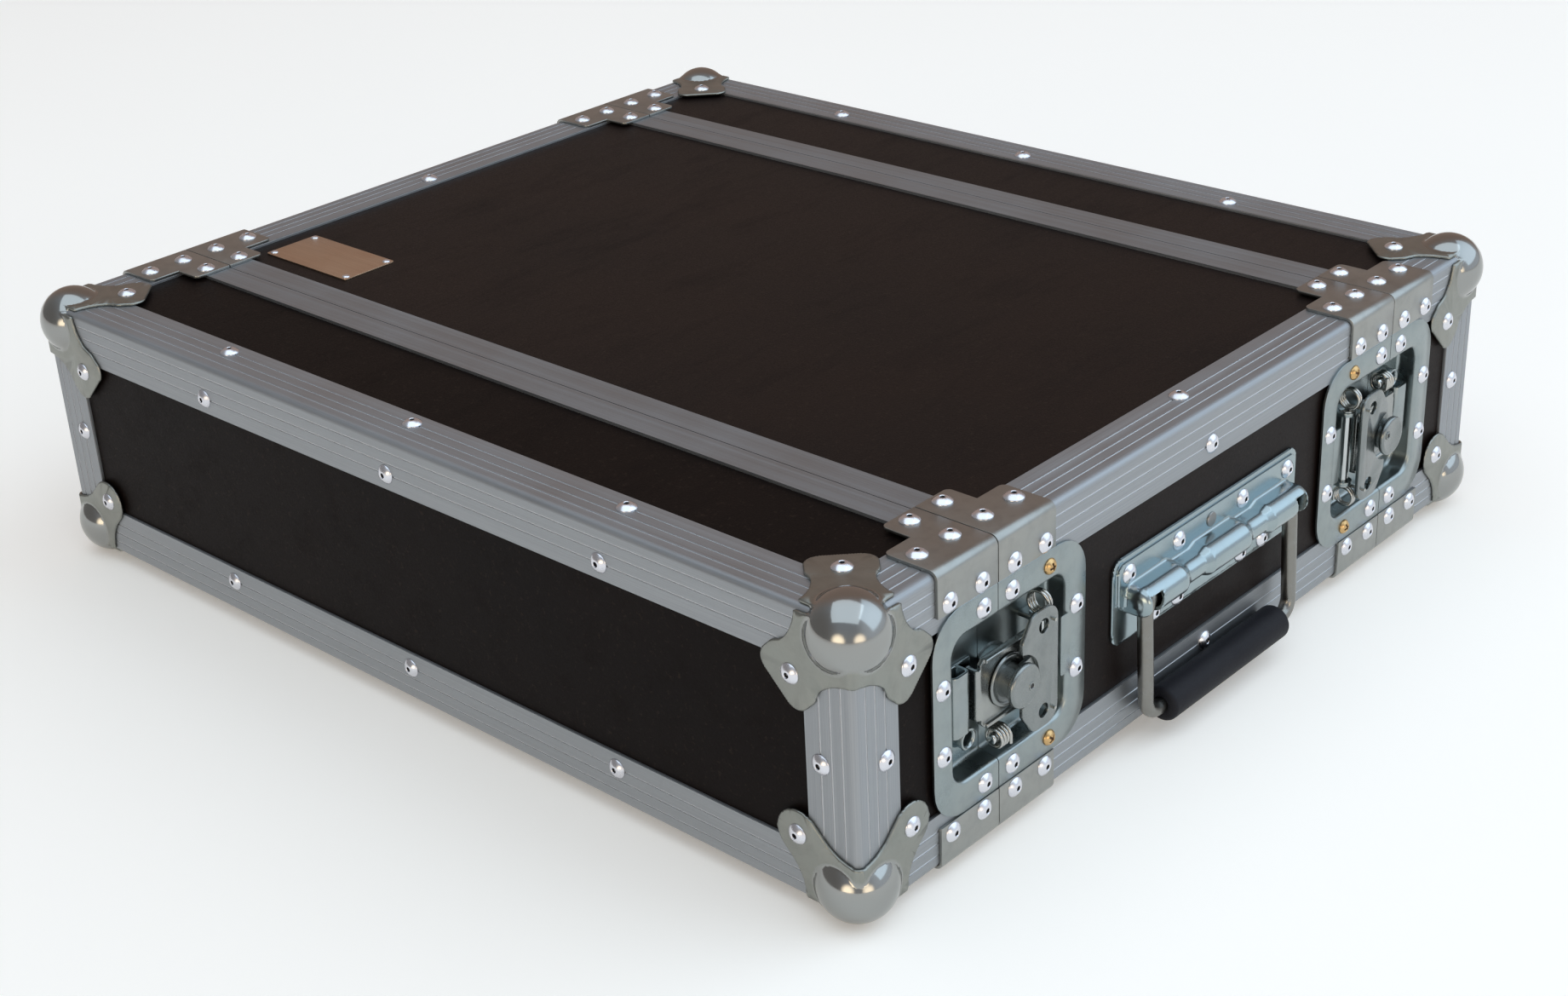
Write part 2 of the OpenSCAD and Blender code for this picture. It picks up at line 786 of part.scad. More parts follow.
// Post with its eccentric and head, and the wing plate that turns it
module latch_wing() {
  chamfer = 10;
  half = wing_len / 2;
  outer_r = 7;
  inner = -0.3;
  translate([post_s, 0, 0]) {
    translate([0, 0, shaft_end]) cylinder(r = shaft_r, h = cam_z - shaft_end + skin);
    translate([cam_throw, 0, cam_z]) cylinder(r = cam_r, h = skin - cam_z);
    cylinder(r1 = collar_r, r2 = collar_r - 0.6, h = collar_t);
    cylinder(r = post_r, h = head_top - 1);
    difference() {
      union() {
        translate([0, 0, head_top - head_t]) cylinder(r = head_r, h = head_t - 0.8);
        translate([0, 0, head_top - 0.8]) cylinder(r1 = head_r, r2 = head_r - 0.8, h = 0.8);
      }
      translate([0, 0, head_top - 0.5]) difference() {
        cylinder(r = 2.8, h = 1);
        translate([0, 0, -1]) cylinder(r = 2.2, h = 3);
      }
    }
    translate([0, 0, wing_z]) linear_extrude(wing_t) difference() {
      union() {
        polygon([
          [inner, half - chamfer], [inner + chamfer, half], [wing_out - outer_r, half],
          [wing_out, half - outer_r], [wing_out, -half + outer_r], [wing_out - outer_r, -half],
          [inner + chamfer, -half], [inner, -half + chamfer]
        ]);
        for (sy = [-1, 1]) {
          translate([wing_out - outer_r, sy * (half - outer_r)]) circle(outer_r);
        }
      }
      for (sy = [-1, 1]) {
        translate([wing_out - 9.5, sy * (half - 7.6)]) circle(wing_hole_r);
      }
    }
  }
}

// Bracket in the lid's half: a low catch under the claw and a hat-shaped guard beside it
module latch_keeper() {
  half = 14;
  guard_top = -1;
  guard_w = 10.8;
  guard_t = 1.5;
  base_from = 6;
  translate([-guard_s - guard_w, -half, floor_z]) cube([guard_w + guard_s - base_from, 2 * half, sheet_t]);
  translate([-claw_s + hook_t + run_clear, -half + 4, floor_z]) cube([2, 2 * half - 8, catch_z - floor_z]);
  translate([-guard_s, half, floor_z]) rotate([90, 0, 0]) linear_extrude(2 * half) difference() {
    guard_outline(guard_w, guard_top - floor_z, 3);
    translate([-guard_t, 0]) guard_outline(guard_w - 2 * guard_t, guard_top - floor_z - guard_t, 1.5);
  }
}

// Flat-footed arch, its right foot at the origin
module guard_outline(width, height, r) {
  translate([-width, 0]) square([width, height - r]);
  translate([-width + r, 0]) square([width - 2 * r, height]);
  translate([-width + r, height - r]) circle(r);
  translate([-r, height - r]) circle(r);
}

module body_latch_dish(side, end) {
  color(zinc) in_case() latch_at(side, end) latch_dish();
}

module hook_at(side, end) {
  color(zinc) in_case() latch_at(side, end) latch_hook();
}

module wing_at(side, end) {
  color(zinc) in_case() latch_at(side, end) latch_wing();
}

module lid_dish(side) {
  color(zinc) in_case() latch_at(side, -1) dish_half(-1);
}

module lid_keeper(side) {
  color(zinc) in_case() latch_at(side, -1) latch_keeper();
}

module latch_axles() {
  color(steel) in_case() for (side = [-1, 1], end = [-1, 1]) {
    latch_at(side, end) latch_axle();
  }
}

module latch_springs() {
  color(steel) in_case() for (side = [-1, 1], end = [-1, 1]) {
    latch_at(side, end) latch_coils();
  }
}

// Handle

// Puts a handle drawn with x along the case, y up and z outwards on a side board
module handle_at(side) {
  rotate([0, 0, side > 0 ? 0 : 180]) translate([hx - edge_t, 0, 0]) rotate([90, 0, 90]) children();
}

// Stamped bulge from x0 to x1 with round ends, down to the base plate
module hump(x0, x1, r) {
  translate([x0, 0, rod_z]) rotate([0, 90, 0]) cylinder(r = r, h = x1 - x0);
  translate([x0, -r, handle_t - skin]) cube([x1 - x0, 2 * r, rod_up + skin]);
  for (x = [x0, x1]) {
    translate([x, 0, rod_z]) sphere(r);
    translate([x, 0, handle_t - skin]) cylinder(r = r, h = rod_up + skin);
  }
}

module handle_plate_solid() {
  low_x = leg_x - rod_r - 6;
  difference() {
    union() {
      linear_extrude(handle_t) rounded_rect([handle_len, handle_h], 6);
      translate([0, handle_rows[0], 0]) cylinder(r = 3, h = handle_t + saddle_t + 0.5);
      linear_extrude(handle_t + saddle_t) intersection() {
        rounded_rect([handle_len - 2 * saddle_in, handle_h - 2 * saddle_in], 5);
        union() {
          translate([-handle_len / 2, -2]) square([handle_len, handle_h]);
          translate([-low_x, -handle_h]) square([2 * low_x, handle_h]);
        }
      }
      hump(-hump_mid, hump_mid, hump_r);
      for (sx = [-1, 1]) {
        hump(sx > 0 ? hump_gap : -hump_end, sx > 0 ? hump_end : -hump_gap, hump_r);
      }
      hump(-hump_gap, hump_gap, neck_r);
    }
    hump_hollow();
    for (sx = [-1, 1]) {
      translate([sx * leg_x - rod_r - slot_clear, -handle_h, handle_t])
        cube([2 * (rod_r + slot_clear), handle_h + rod_r + slot_clear, big]);
    }
  }
}

// Room for the rod in the humps; it is wider at both ends, where the bail bends
module hump_hollow() {
  channel_r = rod_r + rod_clear;
  inner_r = hump_r - hump_t;
  translate([-hump_end, 0, rod_z]) rotate([0, 90, 0]) cylinder(r = channel_r, h = 2 * hump_end);
  translate([-hump_end, -channel_r, handle_t]) cube([2 * hump_end, 2 * channel_r, rod_up]);
  for (sx = [-1, 1]) {
    translate([sx * (hump_gap + hump_end) / 2, 0, rod_z]) {
      rotate([0, 90, 0]) cylinder(r = inner_r, h = hump_end - hump_gap, center = true);
      translate([sx * (hump_end - hump_gap) / 2, 0, 0]) sphere(inner_r);
      translate([-(hump_end - hump_gap) / 2, -inner_r, -rod_up])
        cube([hump_end - hump_gap, 2 * inner_r, rod_up]);
    }
  }
}

module bail_pose() {
  translate([0, 0, rod_z]) rotate([-bail_tilt, 0, 0]) children();
}

module bend(a) {
  rotate([0, 0, a]) rotate_extrude(angle = 90) translate([bend_r, 0]) circle(rod_r);
}

// Steel rod bent into a closed frame: the top runs in the humps, the bottom in the grip
module bail() {
  half = leg_x - bend_r;
  bail_pose() {
    for (y = [0, -bail_reach]) {
      translate([0, y, 0]) rotate([0, 90, 0]) cylinder(r = rod_r, h = 2 * half, center = true);
    }
    for (sx = [-1, 1]) {
      translate([sx * leg_x, -bend_r, 0]) rotate([90, 0, 0])
        cylinder(r = rod_r, h = bail_reach - 2 * bend_r);
      translate([sx * half, -bend_r, 0]) bend(sx > 0 ? 0 : 90);
      translate([sx * half, -bail_reach + bend_r, 0]) bend(sx > 0 ? 270 : 180);
    }
  }
}

module grip() {
  chamfer = 1.5;
  bail_pose() translate([0, -bail_reach, 0]) rotate([0, 90, 0]) difference() {
    union() {
      cylinder(r = grip_r, h = 2 * (grip_x - chamfer), center = true);
      for (sz = [0, 1]) {
        mirror([0, 0, sz]) translate([0, 0, grip_x - chamfer])
          cylinder(r1 = grip_r, r2 = grip_r - chamfer, h = chamfer);
      }
    }
    cylinder(r = rod_r + bore_clear, h = 3 * grip_x, center = true);
  }
}

module handle_plate(side) {
  color(zinc) in_case() handle_at(side) handle_plate_solid();
}

module handle_bail(side) {
  color(steel) in_case() handle_at(side) bail();
}

module handle_grip(side) {
  color(rubber) in_case() handle_at(side) grip();
}

// Rack rails

// Angle with a column of holes, its face at the front opening
module rack_rail(side) {
  wall_x = hx - wall;
  inner_x = rack_hole_x / 2 - rail_edge;
  y0 = -seam_y + rail_back;
  mirror([side > 0 ? 0 : 1, 0, 0]) difference() {
    union() {
      translate([inner_x, y0, -rail_h / 2]) cube([wall_x - inner_x, rail_t, rail_h]);
      translate([wall_x - rail_t, y0, -rail_h / 2]) cube([rail_t, rail_d, rail_h]);
    }
    for (u = [0 : rack_units - 1], at = unit_holes) {
      translate([rack_hole_x / 2, y0 - 1, -rail_h / 2 + u * unit + at]) rotate([-90, 0, 0])
        cylinder(r = rack_hole_r, h = rail_t + 2);
    }
  }
}

module front_rail(side) {
  color(steel) in_case() rack_rail(side);
}

module rear_rail(side) {
  color(steel) in_case() at_rear() rack_rail(-side);
}

// Round-headed bolts that hold the rails to the side boards
module rail_bolts() {
  bolt_z = rail_h / 2 - bolt_in;
  bolt_y = -seam_y + rail_back + rail_d / 2;
  color(steel) in_case() for (turn = [0, 180]) {
    rotate([0, 0, turn]) four_edges()
      translate([hx - wall - rail_t, bolt_y, bolt_z]) rotate([0, -90, 0]) dome(bolt_r, bolt_h);
  }
}

// Small parts

// Spherical cap standing on z = 0
module dome(r, h) {
  cap_r = (r * r + h * h) / (2 * h);
  rotate_extrude() intersection() {
    translate([0, h - cap_r]) circle(cap_r, $fn = 96);
    square([r, h]);
  }
}

module rivet() {
  difference() {
    dome(rivet_r, rivet_h);
    translate([0, 0, rivet_h / 2]) cylinder(r = rivet_hole_r, h = rivet_h);
  }
}

// Rivets of one brace, as brace() is drawn
module brace_rivets() {
  for (at = [[brace_rivet, brace_first], [brace_rivet, brace_first + brace_pitch],
             [brace_rivet + brace_pitch, brace_first]]) {
    translate([hx - at[0], -at[1], hz + plate_t]) rivet();
  }
  for (i = [0, 1]) {
    translate([hx + plate_t, -brace_first - i * brace_pitch, dish_h / 2 + rivet_gap + rivet_r])
      rotate([0, 90, 0]) rivet();
  }
}

// Rivets and screws of a dish: x from the seam, y from the middle
lid_dish_rivets = [[-9, 40], [-34.5, 15]];
body_dish_rivets = [[9, 40], [52, 15]];
dish_screw = [33.5, 40];

module on_dish(at) {
  for (sy = [-1, 1]) {
    translate([at[0], sy * at[1], sheet_t]) children();
  }
}

module ear_rivets() {
  translate([hx - ear_at, -hy + ear_at, hz + plate_t]) rivet();
  translate([hx + plate_t, -hy + ear_at, hz - ear_at]) rotate([0, 90, 0]) rivet();
  translate([hx - ear_at, -hy - plate_t, hz - ear_at]) rotate([90, 0, 0]) rivet();
}

module lid_rivets() {
  quarter = case_w / 4;
  color(alu) in_case() {
    four_edges() {
      translate([0, -seam_y - half_gap, 0]) brace_rivets();
      ear_rivets();
    }
    top_and_bottom() for (x = [-quarter, 0, quarter]) {
      translate([x, -hy, hz - edge_rivet]) rotate([90, 0, 0]) rivet();
      translate([x, -hy + edge_rivet, hz]) rivet();
    }
    right_and_left() {
      translate([hx - edge_rivet, -hy, 0]) rotate([90, 0, 0]) rivet();
      translate([hx, -hy + edge_rivet, 0]) rotate([0, 90, 0]) rivet();
    }
    for (side = [-1, 1], at = lid_dish_rivets) {
      latch_at(side, -1) on_dish(at) rivet();
    }
  }
}

module handle_rivets() {
  for (sx = [-1, 1]) {
    for (x = upper_rivets) {
      translate([sx * x, handle_rows[0], handle_t + saddle_t]) rivet();
    }
    for (x = lower_rivets) {
      translate([sx * x, handle_rows[1], handle_t + saddle_t]) rivet();
    }
  }
}

module body_rivets() {
  color(alu) in_case() {
    for (turn = [0, 180]) {
      rotate([0, 0, turn]) four_edges() translate([0, -seam_y + half_gap, 0])
        mirror([0, 1, 0]) brace_rivets();
    }
    four_edges() {
      translate([hx - edge_rivet, 0, hz]) rivet();
      translate([hx, 0, hz - edge_rivet]) rotate([0, 90, 0]) rivet();
    }
    for (side = [-1, 1]) {
      handle_at(side) handle_rivets();
      for (end = [-1, 1], at = body_dish_rivets) {
        latch_at(side, end) on_dish(at) rivet();
      }
    }
    badge_at() for (sx = [-1, 1], sy = [-1, 1]) {
      translate([sx * (badge_w / 2 - 3), sy * (badge_d / 2 - 3), badge_t]) dome(pin_r, 0.9);
    }
  }
}

module latch_screws() {
  color("goldenrod") in_case() for (side = [-1, 1], end = [-1, 1]) {
    latch_at(side, end) on_dish(dish_screw) difference() {
      dome(3.8, 2.4);
      for (a = [0, 90]) {
        translate([0, 0, 2]) rotate([0, 0, a]) cube([4.2, 0.9, 2], center = true);
      }
    }
  }
}

module badge_at() {
  x = -hx + edge_w + badge_in_x + badge_w / 2;
  y = -seam_y + seam_w + badge_in_y + badge_d / 2;
  translate([x, y, hz - edge_t]) children();
}

module name_plate() {
  color(alu) in_case() badge_at() linear_extrude(badge_t) rounded_rect([badge_w, badge_d], 1.5);
}

body_top_panel();
body_bottom_panel();
body_side_panel(1);  // body_right_panel
body_side_panel(-1);  // body_left_panel
body_edge_profiles();
tongue_frame();  // front_tongue_frame
at_rear() tongue_frame();  // rear_tongue_frame
body_braces();  // body_front_braces
at_rear() body_braces();  // body_rear_braces
front_rail(1);  // rack_rail_front_right
front_rail(-1);  // rack_rail_front_left
rear_rail(1);  // rack_rail_rear_right
rear_rail(-1);  // rack_rail_rear_left
rail_bolts();
body_latch_dish(1, -1);  // latch_dish_front_right
body_latch_dish(-1, -1);  // latch_dish_front_left
body_latch_dish(1, 1);  // latch_dish_rear_right
body_latch_dish(-1, 1);  // latch_dish_rear_left
latch_axles();
latch_springs();
hook_at(1, -1);  // latch_hook_front_right
hook_at(-1, -1);  // latch_hook_front_left
hook_at(1, 1);  // latch_hook_rear_right
hook_at(-1, 1);  // latch_hook_rear_left
wing_at(1, -1);  // latch_wing_front_right
wing_at(-1, -1);  // latch_wing_front_left
wing_at(1, 1);  // latch_wing_rear_right
wing_at(-1, 1);  // latch_wing_rear_left
handle_plate(1);  // handle_plate_right
handle_plate(-1);  // handle_plate_left
handle_bail(1);  // handle_bail_right
handle_bail(-1);  // handle_bail_left
handle_grip(1);  // handle_grip_right
handle_grip(-1);  // handle_grip_left
name_plate();
body_rivets();
latch_screws();
lid_panel();  // front_lid_panel
lid_rim();  // front_lid_rim
lid_edge_profiles();  // front_lid_edge_profiles
groove_frame();  // front_lid_groove_frame
lid_braces();  // front_lid_braces
lid_ball_corners();  // front_lid_ball_corners
lid_dish(1);  // front_lid_dish_right
lid_dish(-1);  // front_lid_dish_left
lid_keeper(1);  // front_lid_keeper_right
lid_keeper(-1);  // front_lid_keeper_left
lid_rivets();  // front_lid_rivets
at_rear() lid_panel();  // rear_lid_panel
at_rear() lid_rim();  // rear_lid_rim
at_rear() lid_edge_profiles();  // rear_lid_edge_profiles
at_rear() groove_frame();  // rear_lid_groove_frame
at_rear() lid_braces();  // rear_lid_braces
at_rear() lid_ball_corners();  // rear_lid_ball_corners
at_rear() lid_dish(-1);  // rear_lid_dish_right
at_rear() lid_dish(1);  // rear_lid_dish_left
at_rear() lid_keeper(-1);  // rear_lid_keeper_right
at_rear() lid_keeper(1);  // rear_lid_keeper_left
at_rear() lid_rivets();  // rear_lid_rivets
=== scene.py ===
"""Looks of the rack case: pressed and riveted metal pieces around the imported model, in metres."""

import functools
import math

import bmesh
import bpy
import numpy as np
from mathutils import Matrix, Vector


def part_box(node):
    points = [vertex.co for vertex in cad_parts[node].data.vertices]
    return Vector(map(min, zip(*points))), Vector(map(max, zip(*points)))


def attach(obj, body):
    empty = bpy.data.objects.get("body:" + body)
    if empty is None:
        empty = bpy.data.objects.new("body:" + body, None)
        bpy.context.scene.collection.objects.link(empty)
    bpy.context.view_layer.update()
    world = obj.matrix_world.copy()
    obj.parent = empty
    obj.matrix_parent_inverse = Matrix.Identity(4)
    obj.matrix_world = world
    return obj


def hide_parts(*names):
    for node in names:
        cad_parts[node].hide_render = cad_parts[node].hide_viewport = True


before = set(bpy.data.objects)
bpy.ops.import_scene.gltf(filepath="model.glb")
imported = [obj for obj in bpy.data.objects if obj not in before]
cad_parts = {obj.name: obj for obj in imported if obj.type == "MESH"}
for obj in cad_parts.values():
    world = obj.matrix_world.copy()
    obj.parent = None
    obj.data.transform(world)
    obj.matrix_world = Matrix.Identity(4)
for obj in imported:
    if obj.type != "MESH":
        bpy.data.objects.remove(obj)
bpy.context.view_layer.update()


def span(node):
    """Lowest and highest corner of a CAD node, in millimetres."""
    return [[round(1000 * c, 3) for c in corner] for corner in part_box(node)]


# Half sizes over the edge profiles and the height of the middle, in millimetres
lid_low, lid_high = span("front_lid_edge_profiles")
HX, HY, HZ = lid_high[0], -lid_low[1], (lid_high[2] - lid_low[2]) / 2
MID = (lid_high[2] + lid_low[2]) / 2

# Distance of the seams from the middle, and half their gap
body_front, lid_back = span("body_front_braces")[0][1], span("front_lid_braces")[1][1]
SEAM = round(-(body_front + lid_back) / 2, 3)
HALF_GAP = round((body_front - lid_back) / 2, 3)

# Thickness of the flanges and of the pressed sheet, and the place of the dishes' floor
PLATE = HX - span("body_right_panel")[1][0]
SHEET = round(span("front_lid_dish_right")[1][0] - HX, 3)
FLOOR = round(span("front_lid_keeper_right")[0][0] - HX, 3)

# Points closer than this are one point
WELD = 0.002
SIDES = ((1, "right"), (-1, "left"))
ENDS = ((-1, "front"), (1, "rear"))


# Shapes: arrays of points in millimetres, faces as tuples, and a material number for each face
class Shape:
    def __init__(self, points, faces, tags=None):
        self.points = np.asarray(points, float).reshape(-1, 3)
        self.faces = [tuple(int(i) for i in f) for f in faces]
        self.tags = list(tags or [0] * len(self.faces))


def joined(shapes):
    points, faces, tags, base = [], [], [], 0
    for s in shapes:
        points.append(s.points)
        faces += [tuple(i + base for i in f) for f in s.faces]
        tags += s.tags
        base += len(s.points)
    return Shape(np.concatenate(points), faces, tags)


def moved(shape, matrix):
    """A copy put in place by a matrix. A mirrored copy has its faces turned back outwards."""
    m = np.array(matrix, float)
    points = shape.points @ m[:3, :3].T + m[:3, 3]
    faces = shape.faces
    if np.linalg.det(m[:3, :3]) < 0:
        faces = [tuple(reversed(f)) for f in faces]
    return Shape(points, faces, shape.tags)


def shift(x, y, z):
    return Matrix.Translation((x, y, z))


def turn(x, y, z):
    """Rotation about x, then y, then z, in degrees."""
    return (
        Matrix.Rotation(math.radians(z), 4, "Z")
        @ Matrix.Rotation(math.radians(y), 4, "Y")
        @ Matrix.Rotation(math.radians(x), 4, "X")
    )


CASE = shift(0, 0, MID)


def latch_at(side, end):
    """x from the seam into the sleeve, y up, z outwards."""
    flips = {(1, -1): (0, 0, 0), (1, 1): (180, 0, 0), (-1, -1): (0, 180, 0), (-1, 1): (0, 0, 180)}
    return CASE @ shift(side * HX, end * SEAM, 0) @ turn(*flips[side, end]) @ turn(90, 0, 90)


def at_latches(shape):
    """A copy at each of the four latches."""
    return joined([moved(shape, latch_at(side, end)) for end, _ in ENDS for side, _ in SIDES])


def handle_at(side):
    """x along the case, y up, z outwards from the side board."""
    return CASE @ turn(0, 0, 0 if side > 0 else 180) @ shift(HX - PLATE, 0, 0) @ turn(90, 0, 90)


def corner_at(sx, sy, sz):
    """Inwards from the case's corner: u along x, v along y, w along z."""
    m = Matrix.Diagonal((-sx, -sy, -sz, 1))
    return CASE @ shift(sx * HX, sy * HY, sz * HZ) @ m


# Signed distances, negative inside
def overlap(*fields):
    return functools.reduce(np.maximum, fields)


def union(*fields):
    return functools.reduce(np.minimum, fields)


def smooth_min(a, b, k):
    h = np.clip(0.5 + 0.5 * (b - a) / k, 0, 1)
    return b + (a - b) * h - k * h * (1 - h)


def smooth_max(a, b, k):
    return -smooth_min(-a, -b, k)


def rect(x, y, hx, hy, r):
    """Rounded rectangle of half sizes hx and hy."""
    qx, qy = np.abs(x) - hx + r, np.abs(y) - hy + r
    return np.hypot(np.maximum(qx, 0), np.maximum(qy, 0)) + np.minimum(np.maximum(qx, qy), 0) - r


def slab(value, z, low, high):
    return overlap(value, low - z, z - high)


# Solids from signed distances
CORNERS = [(i, j, k) for i in (0, 1) for j in (0, 1) for k in (0, 1)]
RING = ((0, 0), (-1, 0), (-1, -1), (0, -1))
SETTLE_PASSES, PROBE, LEAST_SLOPE = 3, 0.02, 0.25


def crossings(cell, value):
    """Mean of the places where the edges of each cell cross the zero level, in steps."""
    total, hits = np.zeros((len(cell), 3)), np.zeros((len(cell), 1))
    for a in CORNERS:
        for axis in range(3):
            if a[axis]:
                continue
            b = tuple(a[i] + (i == axis) for i in range(3))
            va = value[tuple((cell + a).T)]
            vb = value[tuple((cell + b).T)]
            cross = ((va < 0) != (vb < 0))[:, None]
            t = (va / np.where(va == vb, 1, va - vb))[:, None]
            at = cell + a + t * np.eye(3)[axis]
            total += np.where(cross, at, 0)
            hits += cross
    return total / hits


def settled(points, field, step):
    """Points moved along the field's slope onto its zero level."""
    for _ in range(SETTLE_PASSES):
        here = field(points)
        rise = [field(points + d) - field(points - d) for d in PROBE * np.eye(3)]
        slope = np.stack(rise, -1) / (2 * PROBE)
        size = np.maximum((slope**2).sum(-1), LEAST_SLOPE)
        points = points - np.clip(here / size, -step / 2, step / 2)[:, None] * slope
    return points


def solid_from(field, low, high, step):
    """Quads over the zero level of a signed field, one point in each cell that it crosses."""
    axes = [np.arange(lo, hi + step, step) for lo, hi in zip(low, high)]
    value = field(np.stack(np.meshgrid(*axes, indexing="ij"), -1))
    inside = value < 0
    n = [len(a) - 1 for a in axes]

    def part(a, c):
        return a[c[0] : c[0] + n[0], c[1] : c[1] + n[1], c[2] : c[2] + n[2]]

    count = sum(part(inside, c).astype(int) for c in CORNERS)
    active = (count > 0) & (count < len(CORNERS))
    index = np.full(active.shape, -1)
    index[active] = np.arange(active.sum())
    points = np.array(low) + step * crossings(np.argwhere(active), value)
    faces = []
    for axis in range(3):
        u, v = (axis + 1) % 3, (axis + 2) % 3
        one = inside.take(range(n[axis]), axis)
        two = inside.take(range(1, n[axis] + 1), axis)
        for p in np.argwhere(one != two):
            if p[u] == 0 or p[v] == 0 or p[u] >= n[u] or p[v] >= n[v]:
                continue
            ring = []
            for du, dv in RING:
                q = p.copy()
                q[u] += du
                q[v] += dv
                ring.append(index[tuple(q)])
            faces.append(ring if one[tuple(p)] else ring[::-1])
    return Shape(settled(points, field, step), faces)


# Shapes by bmesh
def to_bmesh(shape):
    bm = bmesh.new()
    verts = [bm.verts.new(p) for p in shape.points]
    for f, tag in zip(shape.faces, shape.tags):
        bm.faces.new([verts[i] for i in f]).material_index = tag
    return bm


def from_bmesh(bm):
    bm.verts.index_update()
    s = Shape(
        [v.co[:] for v in bm.verts],
        [[v.index for v in f.verts] for f in bm.faces],
        [f.material_index for f in bm.faces],
    )
    bm.free()
    return s


def kept(shape, point, normal):
    """What lies behind a plane, closed."""
    bm = to_bmesh(shape)
    everything = bm.verts[:] + bm.edges[:] + bm.faces[:]
    bmesh.ops.bisect_plane(
        bm, geom=everything, dist=1e-5, plane_co=point, plane_no=normal, clear_outer=True
    )
    rim = [e for e in bm.edges if len(e.link_faces) == 1]
    bmesh.ops.triangle_fill(bm, use_beauty=True, edges=rim)
    bmesh.ops.recalc_face_normals(bm, faces=bm.faces[:])
    return from_bmesh(bm)


def plate(outline, low, high, edge, holes=()):
    """Flat plate with softened edges, with holes if given."""
    bm = bmesh.new()
    for ring in (outline, *holes):
        verts = [bm.verts.new((x, y, low)) for x, y in ring]
        for a, b in zip(verts, verts[1:] + verts[:1]):
            bm.edges.new((a, b))
    bmesh.ops.triangle_fill(bm, use_beauty=True, edges=bm.edges[:])
    bmesh.ops.dissolve_limit(bm, angle_limit=0.01, verts=bm.verts[:], edges=bm.edges[:])
    up = bmesh.ops.extrude_face_region(bm, geom=bm.faces[:])
    top = [v for v in up["geom"] if isinstance(v, bmesh.types.BMVert)]
    bmesh.ops.translate(bm, verts=top, vec=(0, 0, high - low))
    bmesh.ops.recalc_face_normals(bm, faces=bm.faces[:])
    soften(bm, edge, 50)
    return from_bmesh(bm)


def soften(bm, width, angle):
    """Bevels the edges that turn by more than an angle."""
    limit = math.radians(angle)
    edges = [e for e in bm.edges if len(e.link_faces) == 2 and e.calc_face_angle(0) > limit]
    bmesh.ops.bevel(
        bm, geom=edges, offset=width, segments=2, affect="EDGES", profile=0.5, clamp_overlap=True
    )


def revolve(profile, sides, tags=None):
    """Turns (radius, height) pairs about z. A radius of 0 closes the form."""
    points, rows, faces, face_tags = [], [], [], []
    for r, z in profile:
        if r <= 0:
            rows.append([len(points)])
            points.append((0, 0, z))
        else:
            rows.append(list(range(len(points), len(points) + sides)))
            for i in range(sides):
                a = 2 * math.pi * i / sides
                points.append((r * math.cos(a), r * math.sin(a), z))
    for n, (one, two) in enumerate(zip(rows, rows[1:])):
        for i in range(sides):
            j = (i + 1) % sides
            a, b = one[i % len(one)], one[j % len(one)]
            c, d = two[j % len(two)], two[i % len(two)]
            faces.append([p for k, p in enumerate((a, b, c, d)) if p not in (a, b, c, d)[:k]])
            face_tags.append(tags[n] if tags else 0)
    return Shape(points, faces, face_tags)


def skin(rings, sides, closed=False):
    """Faces between rings of points that follow each other, each with the same number of sides."""
    faces = []
    for i in range(rings if closed else rings - 1):
        j = (i + 1) % rings
        for k in range(sides):
            m = (k + 1) % sides
            faces.append((i * sides + k, i * sides + m, j * sides + m, j * sides + k))
    return faces


# A direction that no bar starts along
ASKEW = (0.31, 0.52, 0.79)


def tube(path, radius, sides, closed=False):
    """Round bar along a path, with its ends closed."""
    path = np.asarray(path, float)
    n = len(path)
    ahead = np.roll(path, -1, 0) - path
    behind = path - np.roll(path, 1, 0)
    tangent = ahead + behind
    if not closed:
        tangent[0], tangent[-1] = ahead[0], behind[-1]
    tangent /= np.linalg.norm(tangent, axis=1)[:, None]
    normal = np.cross(tangent[0], ASKEW)
    points = []
    for i in range(n):
        normal = normal - tangent[i] * (normal @ tangent[i])
        normal /= np.linalg.norm(normal)
        other = np.cross(tangent[i], normal)
        for k in range(sides):
            a = 2 * math.pi * k / sides
            points.append(path[i] + radius * (math.cos(a) * normal + math.sin(a) * other))
    faces = skin(n, sides, closed)
    if not closed:
        faces.append(tuple(reversed(range(sides))))
        faces.append(tuple(range((n - 1) * sides, n * sides)))
    return Shape(points, faces)


def rounded(hx, hy, r, cx):
    """Points of a rounded rectangle, anticlockwise."""
    ring, steps = [], 7
    for q, (sx, sy) in enumerate(((1, 1), (-1, 1), (-1, -1), (1, -1))):
        for i in range(steps + 1):
            a = math.pi / 2 * (q + i / steps)
            ring.append((cx + sx * (hx - r) + r * math.cos(a), sy * (hy - r) + r * math.sin(a)))
    return ring


def arc(angles, r, x=0, y=0):
    return [(x + r * math.cos(a), y + r * math.sin(a)) for a in angles]


def circle(r, x, y, sides):
    return arc([2 * math.pi * i / sides for i in range(sides)], r, x, y)


